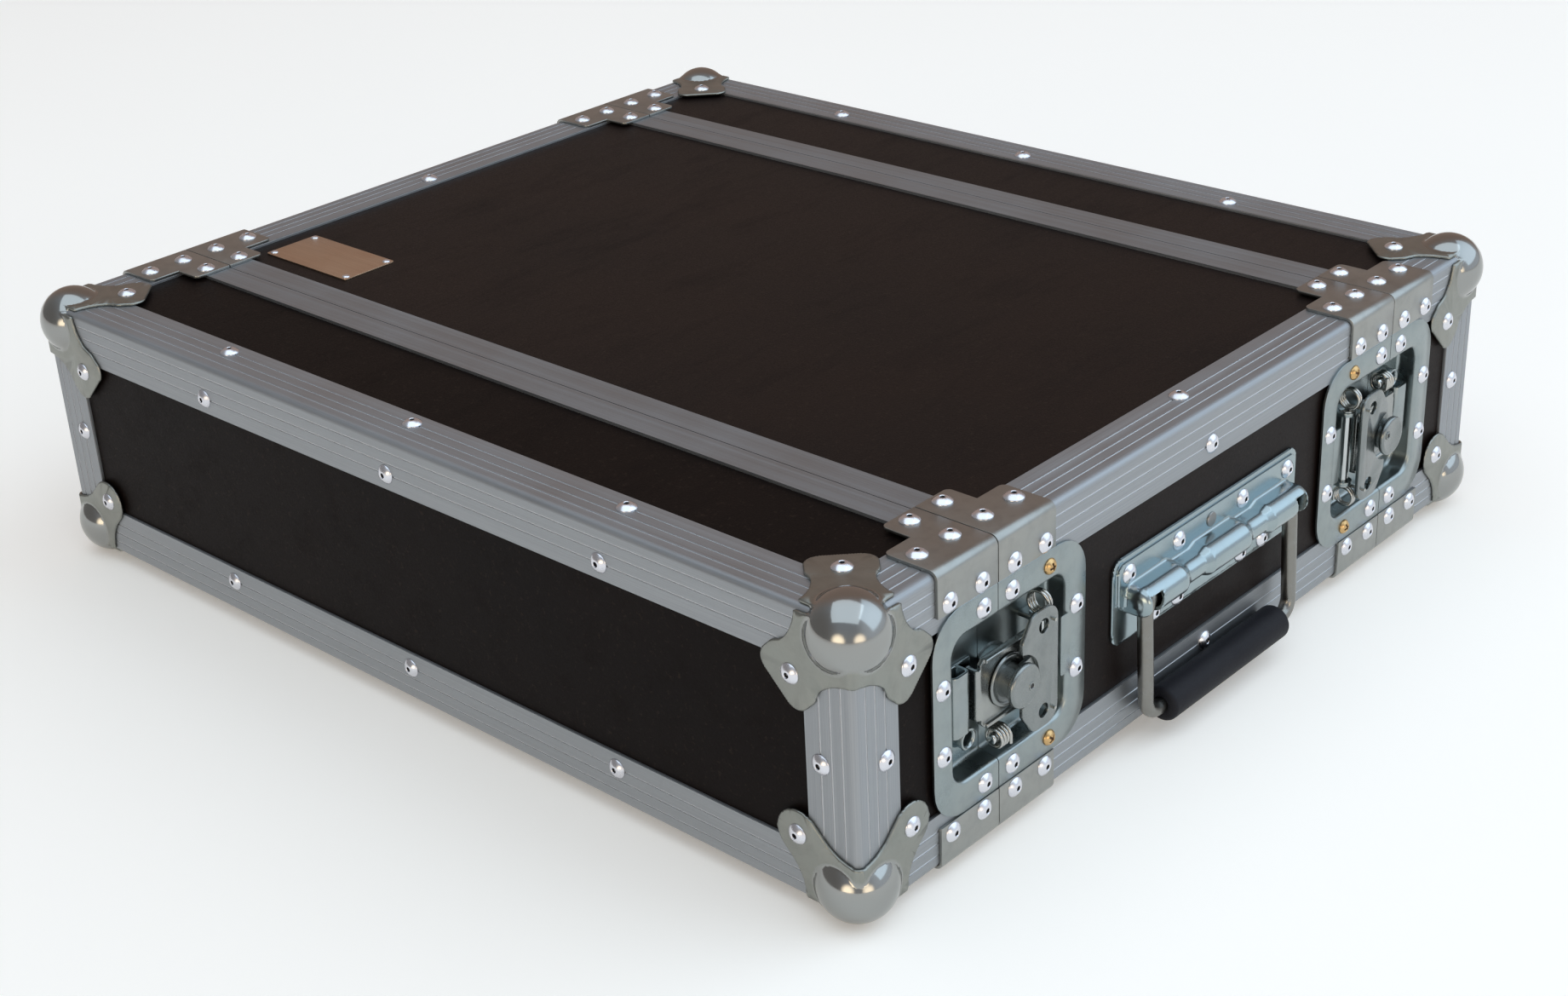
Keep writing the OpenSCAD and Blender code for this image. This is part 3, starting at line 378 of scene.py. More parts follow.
def fillet(corners):
    """Outline through (x, y, radius) corners, each rounded by its radius."""
    ring, n, steps = [], len(corners), 6
    for i, (x, y, r) in enumerate(corners):
        here = np.array((x, y), float)
        a = np.array(corners[i - 1][:2], float) - here
        b = np.array(corners[(i + 1) % n][:2], float) - here
        a, b = a / np.linalg.norm(a), b / np.linalg.norm(b)
        half = math.acos(np.clip(a @ b, -1, 1)) / 2
        middle = here + (a + b) / np.linalg.norm(a + b) * (r / math.sin(half))
        reach = r / math.tan(half)
        start, stop = here + a * reach - middle, here + b * reach - middle
        sweep = math.atan2(start[0] * stop[1] - start[1] * stop[0], start @ stop)
        for k in range(steps + 1):
            c, s = math.cos(sweep * k / steps), math.sin(sweep * k / steps)
            (mx, my), (x, y) = middle, start
            ring.append((mx + x * c - y * s, my + x * s + y * c))
    return ring


def quarter(steps):
    """Sine and cosine at even steps through a right angle."""
    angles = [math.pi / 2 * i / steps for i in range(steps + 1)]
    return [(math.sin(a), math.cos(a)) for a in angles]


def lofted(rings):
    """Skin through rings of equal length, each with a height, closed into a loop by the caller."""
    points = [(x, y, z) for ring, z in rings for x, y in ring]
    return Shape(points, skin(len(rings), len(rings[0][0])))


# Pieces
def thinned(piece, share):
    """Mesh of a piece with a share of its faces left, without doubled points."""
    thin = piece.modifiers.new("thin", "DECIMATE")
    thin.ratio = share
    bpy.context.view_layer.update()
    done = piece.evaluated_get(bpy.context.evaluated_depsgraph_get())
    mesh = bpy.data.meshes.new_from_object(done)
    piece.modifiers.clear()
    bm = bmesh.new()
    bm.from_mesh(mesh)
    bmesh.ops.remove_doubles(bm, verts=bm.verts[:], dist=WELD * 0.001)
    bm.to_mesh(mesh)
    bm.free()
    return mesh


def made(name, shape, materials, body, node, smooth=35, keep=None):
    """Object in metres that rides on a body and may replace a CAD node. keep thins its faces."""
    mesh = bpy.data.meshes.new(name)
    mesh.from_pydata((shape.points * 0.001).tolist(), [], shape.faces)
    mesh.update()
    mesh.polygons.foreach_set("material_index", shape.tags)
    piece = bpy.data.objects.new(name, mesh)
    bpy.context.scene.collection.objects.link(piece)
    if keep:
        mesh = thinned(piece, keep)
        mesh.name = name
        piece.data = mesh
    mesh.shade_smooth()
    mesh.set_sharp_from_angle(angle=math.radians(smooth))
    for m in materials:
        mesh.materials.append(m)
    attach(piece, body)
    if node:
        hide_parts(node)
    return piece


def softened(name, node, material, body, width=0.3):
    """A CAD node's own form with its edges eased."""
    bm = bmesh.new()
    bm.from_mesh(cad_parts[node].data)
    bmesh.ops.scale(bm, vec=(1000, 1000, 1000), verts=bm.verts[:])
    bmesh.ops.remove_doubles(bm, verts=bm.verts[:], dist=WELD)
    bmesh.ops.dissolve_limit(bm, angle_limit=math.radians(0.5), verts=bm.verts[:], edges=bm.edges[:])
    soften(bm, width, 40)
    for f in bm.faces:
        f.material_index = 0
    return made(name, from_bmesh(bm), [material], body, node)


# Materials
class Nodes:
    """Short ways to build a node tree. A value is a socket, a number or a tuple."""

    def __init__(self, tree):
        self.tree = tree

    def add(self, kind, *values, **settings):
        """A node with its settings and the values of its first inputs."""
        node = self.tree.nodes.new(kind)
        for key, value in settings.items():
            setattr(node, key, value)
        for socket, value in zip(node.inputs, values):
            self.put(socket, value)
        return node

    def put(self, socket, value):
        if isinstance(value, bpy.types.NodeSocket):
            self.tree.links.new(value, socket)
        elif isinstance(value, (tuple, list)):
            opaque = len(socket.default_value) == 4 and len(value) == 3
            socket.default_value = (*value, 1) if opaque else value
        else:
            socket.default_value = value

    def math(self, operation, *values):
        return self.add("ShaderNodeMath", *values, operation=operation).outputs[0]

    def plus(self, a, b):
        return self.math("ADD", a, b)

    def minus(self, a, b):
        return self.math("SUBTRACT", a, b)

    def times(self, a, b):
        return self.math("MULTIPLY", a, b)

    def vector(self, operation, *values):
        node = self.add("ShaderNodeVectorMath", *values, operation=operation)
        return node.outputs["Value" if operation in ("DOT_PRODUCT", "DISTANCE") else "Vector"]

    def split(self, value):
        return self.add("ShaderNodeSeparateXYZ", value).outputs

    def join(self, x, y, z):
        return self.add("ShaderNodeCombineXYZ", x, y, z).outputs[0]

    def spread(self, *values, smooth=False):
        """Maps a value from low and high to 0 and 1, or to two more values."""
        way = "SMOOTHSTEP" if smooth else "LINEAR"
        return self.add("ShaderNodeMapRange", *values, interpolation_type=way).outputs[0]

    def mix(self, share, one, two, blend="MIX"):
        node = self.add("ShaderNodeMix", data_type="RGBA", blend_type=blend)
        self.put(node.inputs["Factor"], share)
        self.put(node.inputs[6], one)
        self.put(node.inputs[7], two)
        return node.outputs[2]


class Paint(Nodes):
    """A procedural material on the Principled shader, with its noise in the object's own space."""

    def __init__(self, name, metallic=0.0, roughness=0.5, **sockets):
        self.material = bpy.data.materials.new(name)
        self.material.use_nodes = True
        super().__init__(self.material.node_tree)
        self.shader = self.tree.nodes["Principled BSDF"]
        for key, value in {"Metallic": metallic, "Roughness": roughness, **sockets}.items():
            self.shader.inputs[key.replace("_", " ")].default_value = value
        self.where = self.add("ShaderNodeTexCoord").outputs["Object"]

    def noise(self, scale, detail=3.0, rough=0.55, at=None, distortion=0.0):
        node = self.add("ShaderNodeTexNoise")
        self.put(node.inputs["Vector"], self.where if at is None else at)
        numbers = {"Scale": scale, "Detail": detail, "Roughness": rough, "Distortion": distortion}
        for key, value in numbers.items():
            node.inputs[key].default_value = value
        return node.outputs["Fac"]

    def vary(self, noise, low, high):
        """A value between low and high, from noise."""
        return self.spread(noise, 0.3, 0.7, low, high)

    def stretched(self, x, y, z):
        """Coordinates that draw noise out along the axes with small numbers."""
        return self.vector("MULTIPLY", self.where, (x, y, z))

    def folded(self):
        """Distances from the case's middle along x, y and z."""
        x, y, z = self.split(self.where)
        return [self.math("ABSOLUTE", c) for c in (x, y, self.minus(z, MID / 1000))]

    def color(self, value):
        self.put(self.shader.inputs["Base Color"], value)

    def rough(self, value):
        self.put(self.shader.inputs["Roughness"], value)

    def bump(self, height, distance, strength, under=None):
        node = self.add("ShaderNodeBump")
        for key, value in {"Height": height, "Distance": distance, "Strength": strength}.items():
            self.put(node.inputs[key], value)
        if under is not None:
            self.put(node.inputs["Normal"], under)
        self.put(self.shader.inputs["Normal"], node.outputs[0])
        return node.outputs[0]


def film(name, painted_shade_scale=1.0, gloss=0.1):
    """Black phenolic film on plywood: fine grain, faint brown cast, light scuffs. A scale below 1
    darkens both colours as painted shade.
    """
    p = Paint(name, roughness=0.5, Specular_IOR_Level=gloss)
    warm = tuple(painted_shade_scale * c for c in (0.0098, 0.0054, 0.0043))
    cool = tuple(painted_shade_scale * c for c in (0.0076, 0.0047, 0.0041))
    dust = (0.026, 0.017, 0.012)
    grain = p.noise(1500, 2)
    cloud = p.noise(9, 4)
    speck = p.spread(p.noise(420, 2, 0.7), 0.6, 0.74, 0, 1)
    base = p.mix(p.spread(cloud, 0.35, 0.65), warm, cool)
    p.color(p.mix(p.times(speck, 0.5), base, dust))
    scuff = p.noise(55, 6, 0.7, at=p.stretched(1.0, 0.25, 1.0))
    p.rough(p.plus(p.vary(grain, 0.40, 0.52), p.spread(scuff, 0.5, 0.75, 0, 0.1)))
    weave = p.bump(p.noise(620, 1), 0.00005, 0.5)
    p.bump(grain, 0.00003, 0.6, under=weave)
    return p.material


def bar_directions(p, dx, dy, dz):
    """1 on the bars along x, y and z, from distances to the case's faces. They meet at mitres."""
    along_x = p.times(p.math("GREATER_THAN", dx, dy), p.math("GREATER_THAN", dx, dz))
    along_z = p.times(p.math("GREATER_THAN", dz, dy), p.math("GREATER_THAN", dz, dx))
    along_y = p.minus(p.minus(1.0, along_x), along_z)
    return along_x, along_y, along_z


def groove_share(p, dx, dy, dz):
    """1 in the fine grooves of the flanges, away from the noses, and 0 elsewhere: where the grooves
    get a painted highlight.
    """
    groove_from, groove_to, nose = 0.0001, 0.0006, 0.005
    least = p.math("MINIMUM", dx, p.math("MINIMUM", dy, dz))
    most = p.math("MAXIMUM", dx, p.math("MAXIMUM", dy, dz))
    both = p.plus(least, most)
    between = p.minus(p.plus(dx, p.plus(dy, dz)), both)
    deep = p.math("GREATER_THAN", least, groove_from)
    sunk = p.times(deep, p.math("LESS_THAN", least, groove_to))
    return p.times(sunk, p.math("GREATER_THAN", between, nose))


def aluminium(name, color, seam=False):
    """Extruded aluminium with fine lines along each bar, and a painted highlight in the grooves on the
    edges.
    """
    p = Paint(name, metallic=1.0, roughness=0.4)
    across, along = 1.0, 0.003
    # A lighter colour for the grooves: a painted highlight for the light that their edges catch.
    painted_groove_highlight = (0.70, 0.71, 0.725)
    dx, dy, dz = [p.minus(h / 1000, c) for h, c in zip((HX, HY, HZ), p.folded())]
    if seam:
        dy = -1.0
    scale = p.join(*[p.spread(m, 0, 1, across, along) for m in bar_directions(p, dx, dy, dz)])
    at = p.vector("MULTIPLY", p.where, scale)
    fine = p.noise(2600, 2, 0.6, at=at)
    wide = p.noise(420, 3, 0.6, at=at)
    cloud = p.noise(14, 4, 0.6)
    tone = p.plus(p.vary(fine, -0.07, 0.07), p.vary(wide, -0.05, 0.05))
    tone = p.plus(tone, p.vary(cloud, -0.03, 0.03))
    bright = p.vector("SCALE", (1, 1, 1))
    p.put(bright.node.inputs["Scale"], p.plus(tone, 1.0))
    base = p.mix(1.0, color, bright, "MULTIPLY")
    if not seam:
        # The grooves take the lighter colour: a painted highlight.
        base = p.mix(groove_share(p, dx, dy, dz), base, painted_groove_highlight)
    p.color(base)
    p.rough(p.plus(p.vary(wide, 0.47, 0.57), p.spread(cloud, 0.35, 0.65, -0.03, 0.04)))
    p.bump(fine, 0.00002, 0.35)
    return p.material


# Radius of the balls at the case's corners, and their middles inwards from its faces
BALL_R, BALL_IN = 17.0, 10.52


def ball_share(p):
    """1 on the balls of the corners, fading out over their feet."""
    foot = 0.0012
    middle = tuple((half - BALL_IN) / 1000 for half in (HX, HY, HZ))
    away = p.vector("DISTANCE", p.join(*p.folded()), middle)
    return p.spread(away, BALL_R / 1000, BALL_R / 1000 + foot, 1, 0, smooth=True)


def zinc(name, color, roughness, tint, ball=False, mottle=1.0):
    """Zinc plated steel sheet: satin, with pale clouds and faint scratches, and bright on balls."""
    p = Paint(name, metallic=1.0, roughness=roughness)
    dark = tuple(0.82 * c for c in color)
    ball_color, ball_roughness = (0.33, 0.335, 0.325), 0.12
    cloud = p.noise(38, 5, 0.6, distortion=0.4)
    patch = p.noise(150, 3, 0.55)
    grain = p.noise(2400, 2, 0.6)
    base = p.mix(p.spread(cloud, 0.36, 0.64), color, tint)
    base = p.mix(p.spread(patch, 0.45, 0.75, 0, 0.55 * mottle), base, dark)
    satin = p.vary(cloud, roughness - 0.04 * mottle, roughness + 0.05 * mottle)
    rough = p.plus(satin, p.vary(grain, -0.02, 0.02))
    if ball:
        shine = ball_share(p)
        base = p.mix(shine, base, ball_color)
        rough = p.minus(rough, p.times(shine, roughness - ball_roughness))
    p.color(base)
    p.rough(rough)
    scratches = p.noise(900, 2, 0.5, at=p.stretched(1.0, 1.0, 0.03))
    under = p.bump(grain, 0.000012, 0.4)
    p.bump(scratches, 0.00001, 0.25, under=under)
    return p.material


def plain_metal(name, color, roughness, wear=(0.5, 0.5, 0.5), share=0.3):
    """Metal of one colour, with a share of another where it is worn."""
    p = Paint(name, metallic=1.0, roughness=roughness)
    cloud = p.noise(120, 4, 0.6)
    grain = p.noise(2600, 2, 0.6)
    p.color(p.mix(p.spread(cloud, 0.42, 0.72, 0, share), color, wear))
    satin = p.vary(cloud, roughness - 0.05, roughness + 0.05)
    p.rough(p.plus(satin, p.vary(grain, -0.02, 0.02)))
    p.bump(grain, 0.00001, 0.3)
    return p.material


def rubber():
    p = Paint("grip_rubber", roughness=0.62, Specular_IOR_Level=0.22)
    cloud = p.noise(45, 4, 0.6)
    grain = p.noise(1900, 3, 0.6)
    p.color(p.mix(p.spread(cloud, 0.35, 0.65), (0.0072, 0.0072, 0.0105), (0.0105, 0.0103, 0.014)))
    p.rough(p.vary(grain, 0.52, 0.68))
    p.bump(grain, 0.00008, 0.6)
    return p.material


def speckled(name, metallic, roughness, scale, one, two):
    """Two tones in small specks: near black as painted shade inside rivet bores and the post's dimple,
    and dark metal for the rivets' pin stubs and as painted shade on the floor of the eyelets' holes.
    """
    p = Paint(name, metallic=metallic, roughness=roughness)
    p.color(p.mix(p.spread(p.noise(scale, 2), 0.4, 0.6), one, two))
    return p.material


def badge():
    """Brushed plate of a warm tone, with lines along x."""
    p = Paint("badge_metal", metallic=1.0, roughness=0.42)
    fine = p.noise(2600, 2, 0.6, at=p.stretched(0.01, 1.0, 1.0))
    cloud = p.noise(45, 4, 0.6)
    base = p.mix(p.spread(fine, 0.3, 0.7), (0.57, 0.405, 0.285), (0.49, 0.345, 0.24))
    p.color(p.mix(p.spread(cloud, 0.5, 0.8, 0, 0.4), base, (0.44, 0.32, 0.235)))
    p.rough(p.vary(cloud, 0.36, 0.48))
    p.bump(fine, 0.00002, 0.4)
    return p.material


FILM = film("film")
# A darker copy of the film for the front lid's boards: painted shade.
FRONT_LID_SHADED_FILM = film("front_lid_painted_shade_film", 0.62, 0.06)
ALU = aluminium("edge_aluminium", (0.348, 0.363, 0.38))
SEAM_ALU = aluminium("seam_aluminium", (0.30, 0.313, 0.328), seam=True)
BRACE = zinc("brace_zinc", (0.32, 0.328, 0.315), 0.36, (0.35, 0.35, 0.33))
EAR = zinc("corner_zinc", (0.275, 0.285, 0.262), 0.36, (0.30, 0.302, 0.275), ball=True)
DISH = zinc("dish_zinc", (0.295, 0.34, 0.345), 0.3, (0.32, 0.352, 0.348))
KEEPER = zinc("keeper_zinc", (0.29, 0.33, 0.34), 0.24, (0.34, 0.37, 0.365))
HOOK = zinc("hook_zinc", (0.32, 0.335, 0.33), 0.26, (0.35, 0.36, 0.345))
WING = zinc("wing_zinc", (0.235, 0.255, 0.255), 0.26, (0.27, 0.285, 0.28))
SADDLE = zinc("handle_zinc", (0.33, 0.40, 0.425), 0.22, (0.33, 0.39, 0.40), mottle=0.3)
ROD = plain_metal("bail_steel", (0.25, 0.246, 0.23), 0.3, wear=(0.21, 0.197, 0.17), share=0.6)
RUBBER = rubber()
RAIL = zinc("rail_steel", (0.42, 0.43, 0.44), 0.38, (0.46, 0.46, 0.46))
BOLT = plain_metal("bolt_steel", (0.42, 0.42, 0.43), 0.3)
AXLE = plain_metal("axle_steel", (0.55, 0.57, 0.57), 0.16, wear=(0.42, 0.44, 0.44))
SPRING = plain_metal("spring_steel", (0.47, 0.47, 0.45), 0.18, wear=(0.40, 0.37, 0.29), share=0.4)
BADGE = badge()
RIVET = plain_metal("rivet_metal", (0.72, 0.725, 0.77), 0.26, wear=(0.58, 0.58, 0.64))
# Near black for the insides of rivet bores and the post's dimple: painted shade.
HOLE_SHADE = speckled("rivet_hole_painted_shade", 0.4, 0.6, 900, (0.012, 0.012, 0.014), (0.035, 0.034, 0.035))
# Dark metal for the rivets' pin stubs, and painted shade on the floor of the eyelets' holes.
STUB_AND_HOLE_SHADE = speckled("rivet_stub_and_hole_shade", 1.0, 0.45, 1600, (0.16, 0.16, 0.17), (0.32, 0.31, 0.31))
PLUG = plain_metal("plug_steel", (0.24, 0.23, 0.22), 0.34)
BRASS = plain_metal("screw_brass", (0.62, 0.41, 0.19), 0.28, wear=(0.42, 0.25, 0.10), share=0.6)
# Dark brass for the screws' cross recesses: painted shade.
RECESS_SHADE = plain_metal("recess_brass_painted_shade", (0.16, 0.085, 0.035), 0.5)


# CAD nodes that keep their form
def look_of(node):
    """Material of a CAD node that is shown itself, or None."""
    # The front lid's boards take the darker copy of the film, which is painted shade.
    if node in ("front_lid_panel", "front_lid_rim"):
        return FRONT_LID_SHADED_FILM
    if "panel" in node or node.endswith("lid_rim"):
        return FILM
    if node.endswith("edge_profiles"):
        return ALU
    if node.endswith("_frame"):
        return SEAM_ALU
    return BOLT if node == "rail_bolts" else None


for node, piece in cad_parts.items():
    look = look_of(node)
    if look is None:
        continue
    if not piece.material_slots:
        piece.data.materials.append(look)
    for held in piece.material_slots:
        held.material = look


# Ball corners
def ear(a, b, depth, trim_a, trim_b, edge_a, edge_b, wide):
    """One riveted ear on a face, to a paddle across its diagonal if wide, or else to a tongue: a
    and b inwards from the two edges, depth inwards from the face."""
    ease, paddle_at, paddle, paddle_ease = 7, 44.5, (8.5, 14.5, 6.5), 3
    tongue_r, tongue_to = 11, 42
    half, to = (12.3, 46) if wide else (tongue_r, tongue_to)
    along, beside = (a + b) / math.sqrt(2), (a - b) / math.sqrt(2)
    square = overlap(a - edge_a, b - edge_b, -a, -b)
    neck = overlap(np.abs(beside) - half, along - to)
    if wide:
        end = rect(along - paddle_at, beside, *paddle)
        flat = smooth_min(smooth_min(square, neck, ease), end, paddle_ease)
    else:
        end = np.hypot(along - tongue_to, beside) - tongue_r
        flat = smooth_min(square, union(neck, end), ease)
    return overlap(slab(flat, depth, -PLATE, 0), trim_a - a, trim_b - b)


def ball_corner(low):
    """Three ears and a pressed ball. The lower ones leave a notch at the upright edge."""
    edge, slit, fold_r, tip_cut = 27.0, 1.6, 2.5, 3.2
    upright = 25.5 if low else edge

    def field(p):
        u, v, w = np.moveaxis(p, -1, 0)
        ball = overlap(np.linalg.norm(p - BALL_IN, axis=-1) - BALL_R, union(u, v, w) - slit)
        top = ear(u, v, w, slit, slit, edge, edge, not low)
        side = ear(v, w, u, fold_r, slit, edge, upright, not low)
        front = ear(u, w, v, fold_r, slit, edge, upright, not low)
        ring = np.hypot(u - fold_r, v - fold_r)
        fold = overlap(ring - fold_r - PLATE, fold_r - ring, u - fold_r, v - fold_r)
        ears = union(top, side, front, overlap(fold, slit - w, w - upright))
        return smooth_min(overlap(ears, tip_cut - u - v - w), ball, 1.0)

    return solid_from(field, (-7.2, -7.2, -7.2), (45.6, 45.6, 45.6), 0.8)


def ball_normals(piece, end):
    """Gives the points on the balls their exact normals, so that they mirror cleanly."""
    near, aligned = 0.15, 0.93
    mesh = piece.data
    points = np.array([v.co[:] for v in mesh.vertices]) * 1000
    usual = np.array([v.normal[:] for v in mesh.vertices])
    normals = np.zeros_like(points)
    for sx in (1, -1):
        for sz in (1, -1):
            middle = (sx * (HX - BALL_IN), end * (HY - BALL_IN), MID + sz * (HZ - BALL_IN))
            away = points - middle
            size = np.linalg.norm(away, axis=1)
            away /= size[:, None]
            on = (np.abs(size - BALL_R) < near) & ((away * usual).sum(1) > aligned)
            normals[on] = away[on]
    mesh.normals_split_custom_set_from_vertices(normals.tolist())


upper, lower = ball_corner(False), ball_corner(True)
for end, name in ENDS:
    lid = f"{name}_lid"
    corners = ((upper, 1, 1), (lower, 1, -1), (upper, -1, 1), (lower, -1, -1))
    copies = joined([moved(shape, corner_at(sx, end, sz)) for shape, sx, sz in corners])
    pieces = made(
        f"{lid}_corner_pieces", copies, [EAR], lid,
        f"{lid}_ball_corners", smooth=42, keep=0.35,
    )
    ball_normals(pieces, end)


# Handles: the rod's radius and height, half the distance of the legs, their reach, the grip's
# radius and half length, the bends' radius, and the gap under the resting grip
ROD_R, ROD_Z, LEG_X = 3.5, 7.8, 57.5
REACH, GRIP_R, GRIP_X, BEND_R, GRIP_GAP = 56.5, 8.25, 46.5, 8.0, 0.3
TILT = math.degrees(math.asin((PLATE + GRIP_R + GRIP_GAP - ROD_Z) / REACH))

# (distance along the rod, radius) of the pressed cover and of the room inside it
COVER = (
    (14, 7.2), (18.5, 5.3), (30.5, 5.3), (35, 7.2), (59.5, 7.2), (61.5, 6.9), (63, 6), (64, 4.4),
    (64.6, 2),
)
ROOM = ((35.5, 3.8), (39, 5.5), (57, 5.5), (60, 4.6), (61.2, 3.8))


def bulge(x, steps):
    """Radius at a distance along the rod, from (distance, radius) pairs."""
    return np.interp(np.abs(x), [a for a, _ in steps], [r for _, r in steps])


def handle_field(p):
    """Stepped plate with a hollow cover over the rod, slotted for the legs."""
    size, step_size, step_top, cut_below, cut_beyond = (72, 20.5, 6), (69.5, 18.5, 5), 2.7, -2, 48
    cover_foot, cover_end, slot_x, slot_half, slot_up = 0.5, 64.8, 57.1, 4.1, 4.2
    x, y, z = np.moveaxis(p, -1, 0)
    far = np.abs(x)
    step = smooth_max(rect(x, y, *step_size), union(cut_below - y, far - cut_beyond), 3)
    around = np.where(z > ROD_Z, np.hypot(y, z - ROD_Z), np.abs(y))
    cover = overlap(around - bulge(x, COVER), cover_foot - z, far - cover_end)
    raised = smooth_min(slab(step, z, PLATE, step_top), cover, 1.6)
    room = overlap(around - bulge(x, ROOM), PLATE - z, far - ROOM[-1][0])
    slot = overlap(np.abs(far - slot_x) - slot_half, y - slot_up, PLATE - z)
    return overlap(union(slab(rect(x, y, *size), z, 0, PLATE), raised), -union(room, slot))


saddle = solid_from(handle_field, (-73.3, -21.7, -0.9), (73.3, 21.7, 16.1), 0.65)
plug = revolve([(0, 1.0), (3.4, 1.0), (3.4, 3.0), (3.1, 3.3), (0, 3.3)], 28, [1] * 4)
saddle = joined([saddle, moved(plug, shift(0, 12.5, 0))])
for side, name in SIDES:
    made(
        f"handle_saddle_{name}", moved(saddle, handle_at(side)), [SADDLE, PLUG], "case_body",
        f"handle_plate_{name}", smooth=42, keep=0.3,
    )


def bail_path():
    """Closed loop of the bail's rod, with its straights cut into lengths."""
    steps, length = 8, 12
    half, low = LEG_X - BEND_R, BEND_R - REACH
    bends = ((half, -BEND_R, 90), (half, low, 0), (-half, low, -90), (-half, -BEND_R, -180))
    points = []
    for cx, cy, start in bends:
        for i in range(steps + 1):
            a = math.radians(start - 90 * i / steps)
            points.append((cx + BEND_R * math.cos(a), cy + BEND_R * math.sin(a), 0))
    dense = []
    for a, b in zip(points, points[1:] + points[:1]):
        a, b = np.array(a), np.array(b)
        n = max(1, int(np.linalg.norm(b - a) // length))
        dense += [a + (b - a) * i / n for i in range(n)]
    return dense


def grip_shape():
    """Rubber sleeve on the bail, with rounded ends."""
    r, x, ease, clear = GRIP_R, GRIP_X, 2.2, 0.05
    profile = [(ROD_R + clear, -x + 0.4), (ROD_R + 0.6, -x)]
    for s, c in quarter(6):
        profile.append((r - ease + ease * s, -x + ease - ease * c))
    body = [(r, -x + ease + 2 * (x - ease) * i / 8) for i in range(1, 8)]
    mirror = [(q, -h) for q, h in reversed(profile)]
    return revolve(profile + body + mirror + [profile[0]], 48)


rod = tube(bail_path(), ROD_R, 24, True)
grip = moved(grip_shape(), shift(0, -REACH, 0) @ turn(0, 90, 0))
for side, name in SIDES:
    pose = handle_at(side) @ shift(0, 0, ROD_Z) @ turn(-TILT, 0, 0)
    made(
        f"bail_rod_{name}", moved(rod, pose), [ROD], f"bail_{name}",
        f"handle_bail_{name}", smooth=60,
    )
    made(
        f"bail_grip_{name}", moved(grip, pose), [RUBBER], f"bail_{name}",
        f"handle_grip_{name}", smooth=50,
    )


# Latch dishes: places of the post, of the axle and of the foot's pin in them
POST_X, AXLE_X, AXLE_Z = 7.3, 31, -2.5
PIN_Y, PIN_Z = -24, -1.0


def pan(grow):
    """Outline of the sunk part, grown or shrunk."""
    return rounded(36.75 + grow, 33.0 + grow, max(8 + grow, 1.0), 8.75)


def dish_shape():
    """Pressed sheet of both halves, with the hole for the post."""
    flange, flange_x, ease, hole_r = (49.5, 47, 18), 9, 0.35, 5.3
    lip, bend, bottom = 2.3, 2.5, FLOOR - SHEET
    outer = rounded(*flange, flange_x)
    eased = rounded(*[size - ease for size in flange], flange_x)
    n = len(outer)
    hole = arc([2 * math.pi * (i + 0.5) / n for i in range(n)], hole_r, POST_X)
    rings = [(outer, 0.0), (outer, 0.95), (eased, SHEET)]
    rings += [(pan(lip * (1 - s)), SHEET - lip * (1 - c)) for s, c in quarter(5)]
    rings += [(pan(-lip * (1 - c)), FLOOR + lip * (1 - s)) for s, c in quarter(5)]
    rings += [(hole, FLOOR), (hole, bottom)]
    rings += [(pan(SHEET - bend * (1 - s)), bottom + bend * (1 - c)) for s, c in quarter(4)]
    rings += [(pan(SHEET), -SHEET), (pan(SHEET + 1.0), 0.0), (outer, 0.0)]
    return lofted(rings)


def axle_ear(y):
    """Upright ear that holds the axle, rounded on top and standing on the dish's floor."""
    half, foot = 4.5, -9.9 - AXLE_Z
    ring = [(-half, foot), (half, foot)]
    ring += arc(np.linspace(0, math.pi, 13), half)
    ear_plate = plate(ring, -1, 1, 0.3, holes=[circle(2.55, 0, 0, 20)])
    return moved(ear_plate, shift(AXLE_X, y, AXLE_Z) @ turn(90, 0, 0))


boss = [(5.3, -9.8), (5.3, -2.8), (5.5, -2.6), (11.7, -2.6), (12, -2.9), (12, -8.6)]
boss = revolve(boss + [(13.2, -9.35), (13.2, -9.8), (5.3, -9.8)], 40)
tab = plate(fillet([(41.6, 13, 1.2), (41.6, -15, 1.2), (48, -15, 0.5), (48, 13, 0.5)]), 0, SHEET, 0.3)
whole = dish_shape()
body_half = [kept(s, (HALF_GAP, 0, 0), (-1, 0, 0)) for s in (whole, moved(boss, shift(POST_X, 0, 0)))]
body_half = joined(body_half + [axle_ear(18), axle_ear(-18), moved(tab, shift(0, 0, -0.02))])
lid_half = kept(whole, (-HALF_GAP, 0, 0), (1, 0, 0))
for end, end_name in ENDS:
    for side, name in SIDES:
        place, lid = latch_at(side, end), f"{end_name}_lid"
        made(
            f"dish_{end_name}_{name}", moved(body_half, place), [DISH], "case_body",
            f"latch_dish_{end_name}_{name}", smooth=40,
        )
        made(
            f"{lid}_pan_{name}", moved(lid_half, place), [DISH], lid,
            f"{lid}_dish_{name}", smooth=40,
        )


# Springs
def coil(r, pitch, turns, leg_in, leg_out):
    """Wire wound about z, with a straight leg at each end."""
    wire, per_turn, steps_in, steps_out = 0.8, 20, 4, 3
    n = int(turns * per_turn)

    def at(i):
        a = 2 * math.pi * i / per_turn
        return np.array((r * math.cos(a), r * math.sin(a), pitch * i / per_turn))

    def way(i):
        a = 2 * math.pi * i / per_turn
        return np.array((-math.sin(a), math.cos(a), 0))

    path = [at(0) - leg_in * way(0) * (1 - k / steps_in) for k in range(steps_in)]
    path += [at(i) for i in range(n + 1)]
    path += [at(n) + leg_out * way(n) * (k + 1) / steps_out for k in range(steps_out)]
    return tube(path, wire, 10)


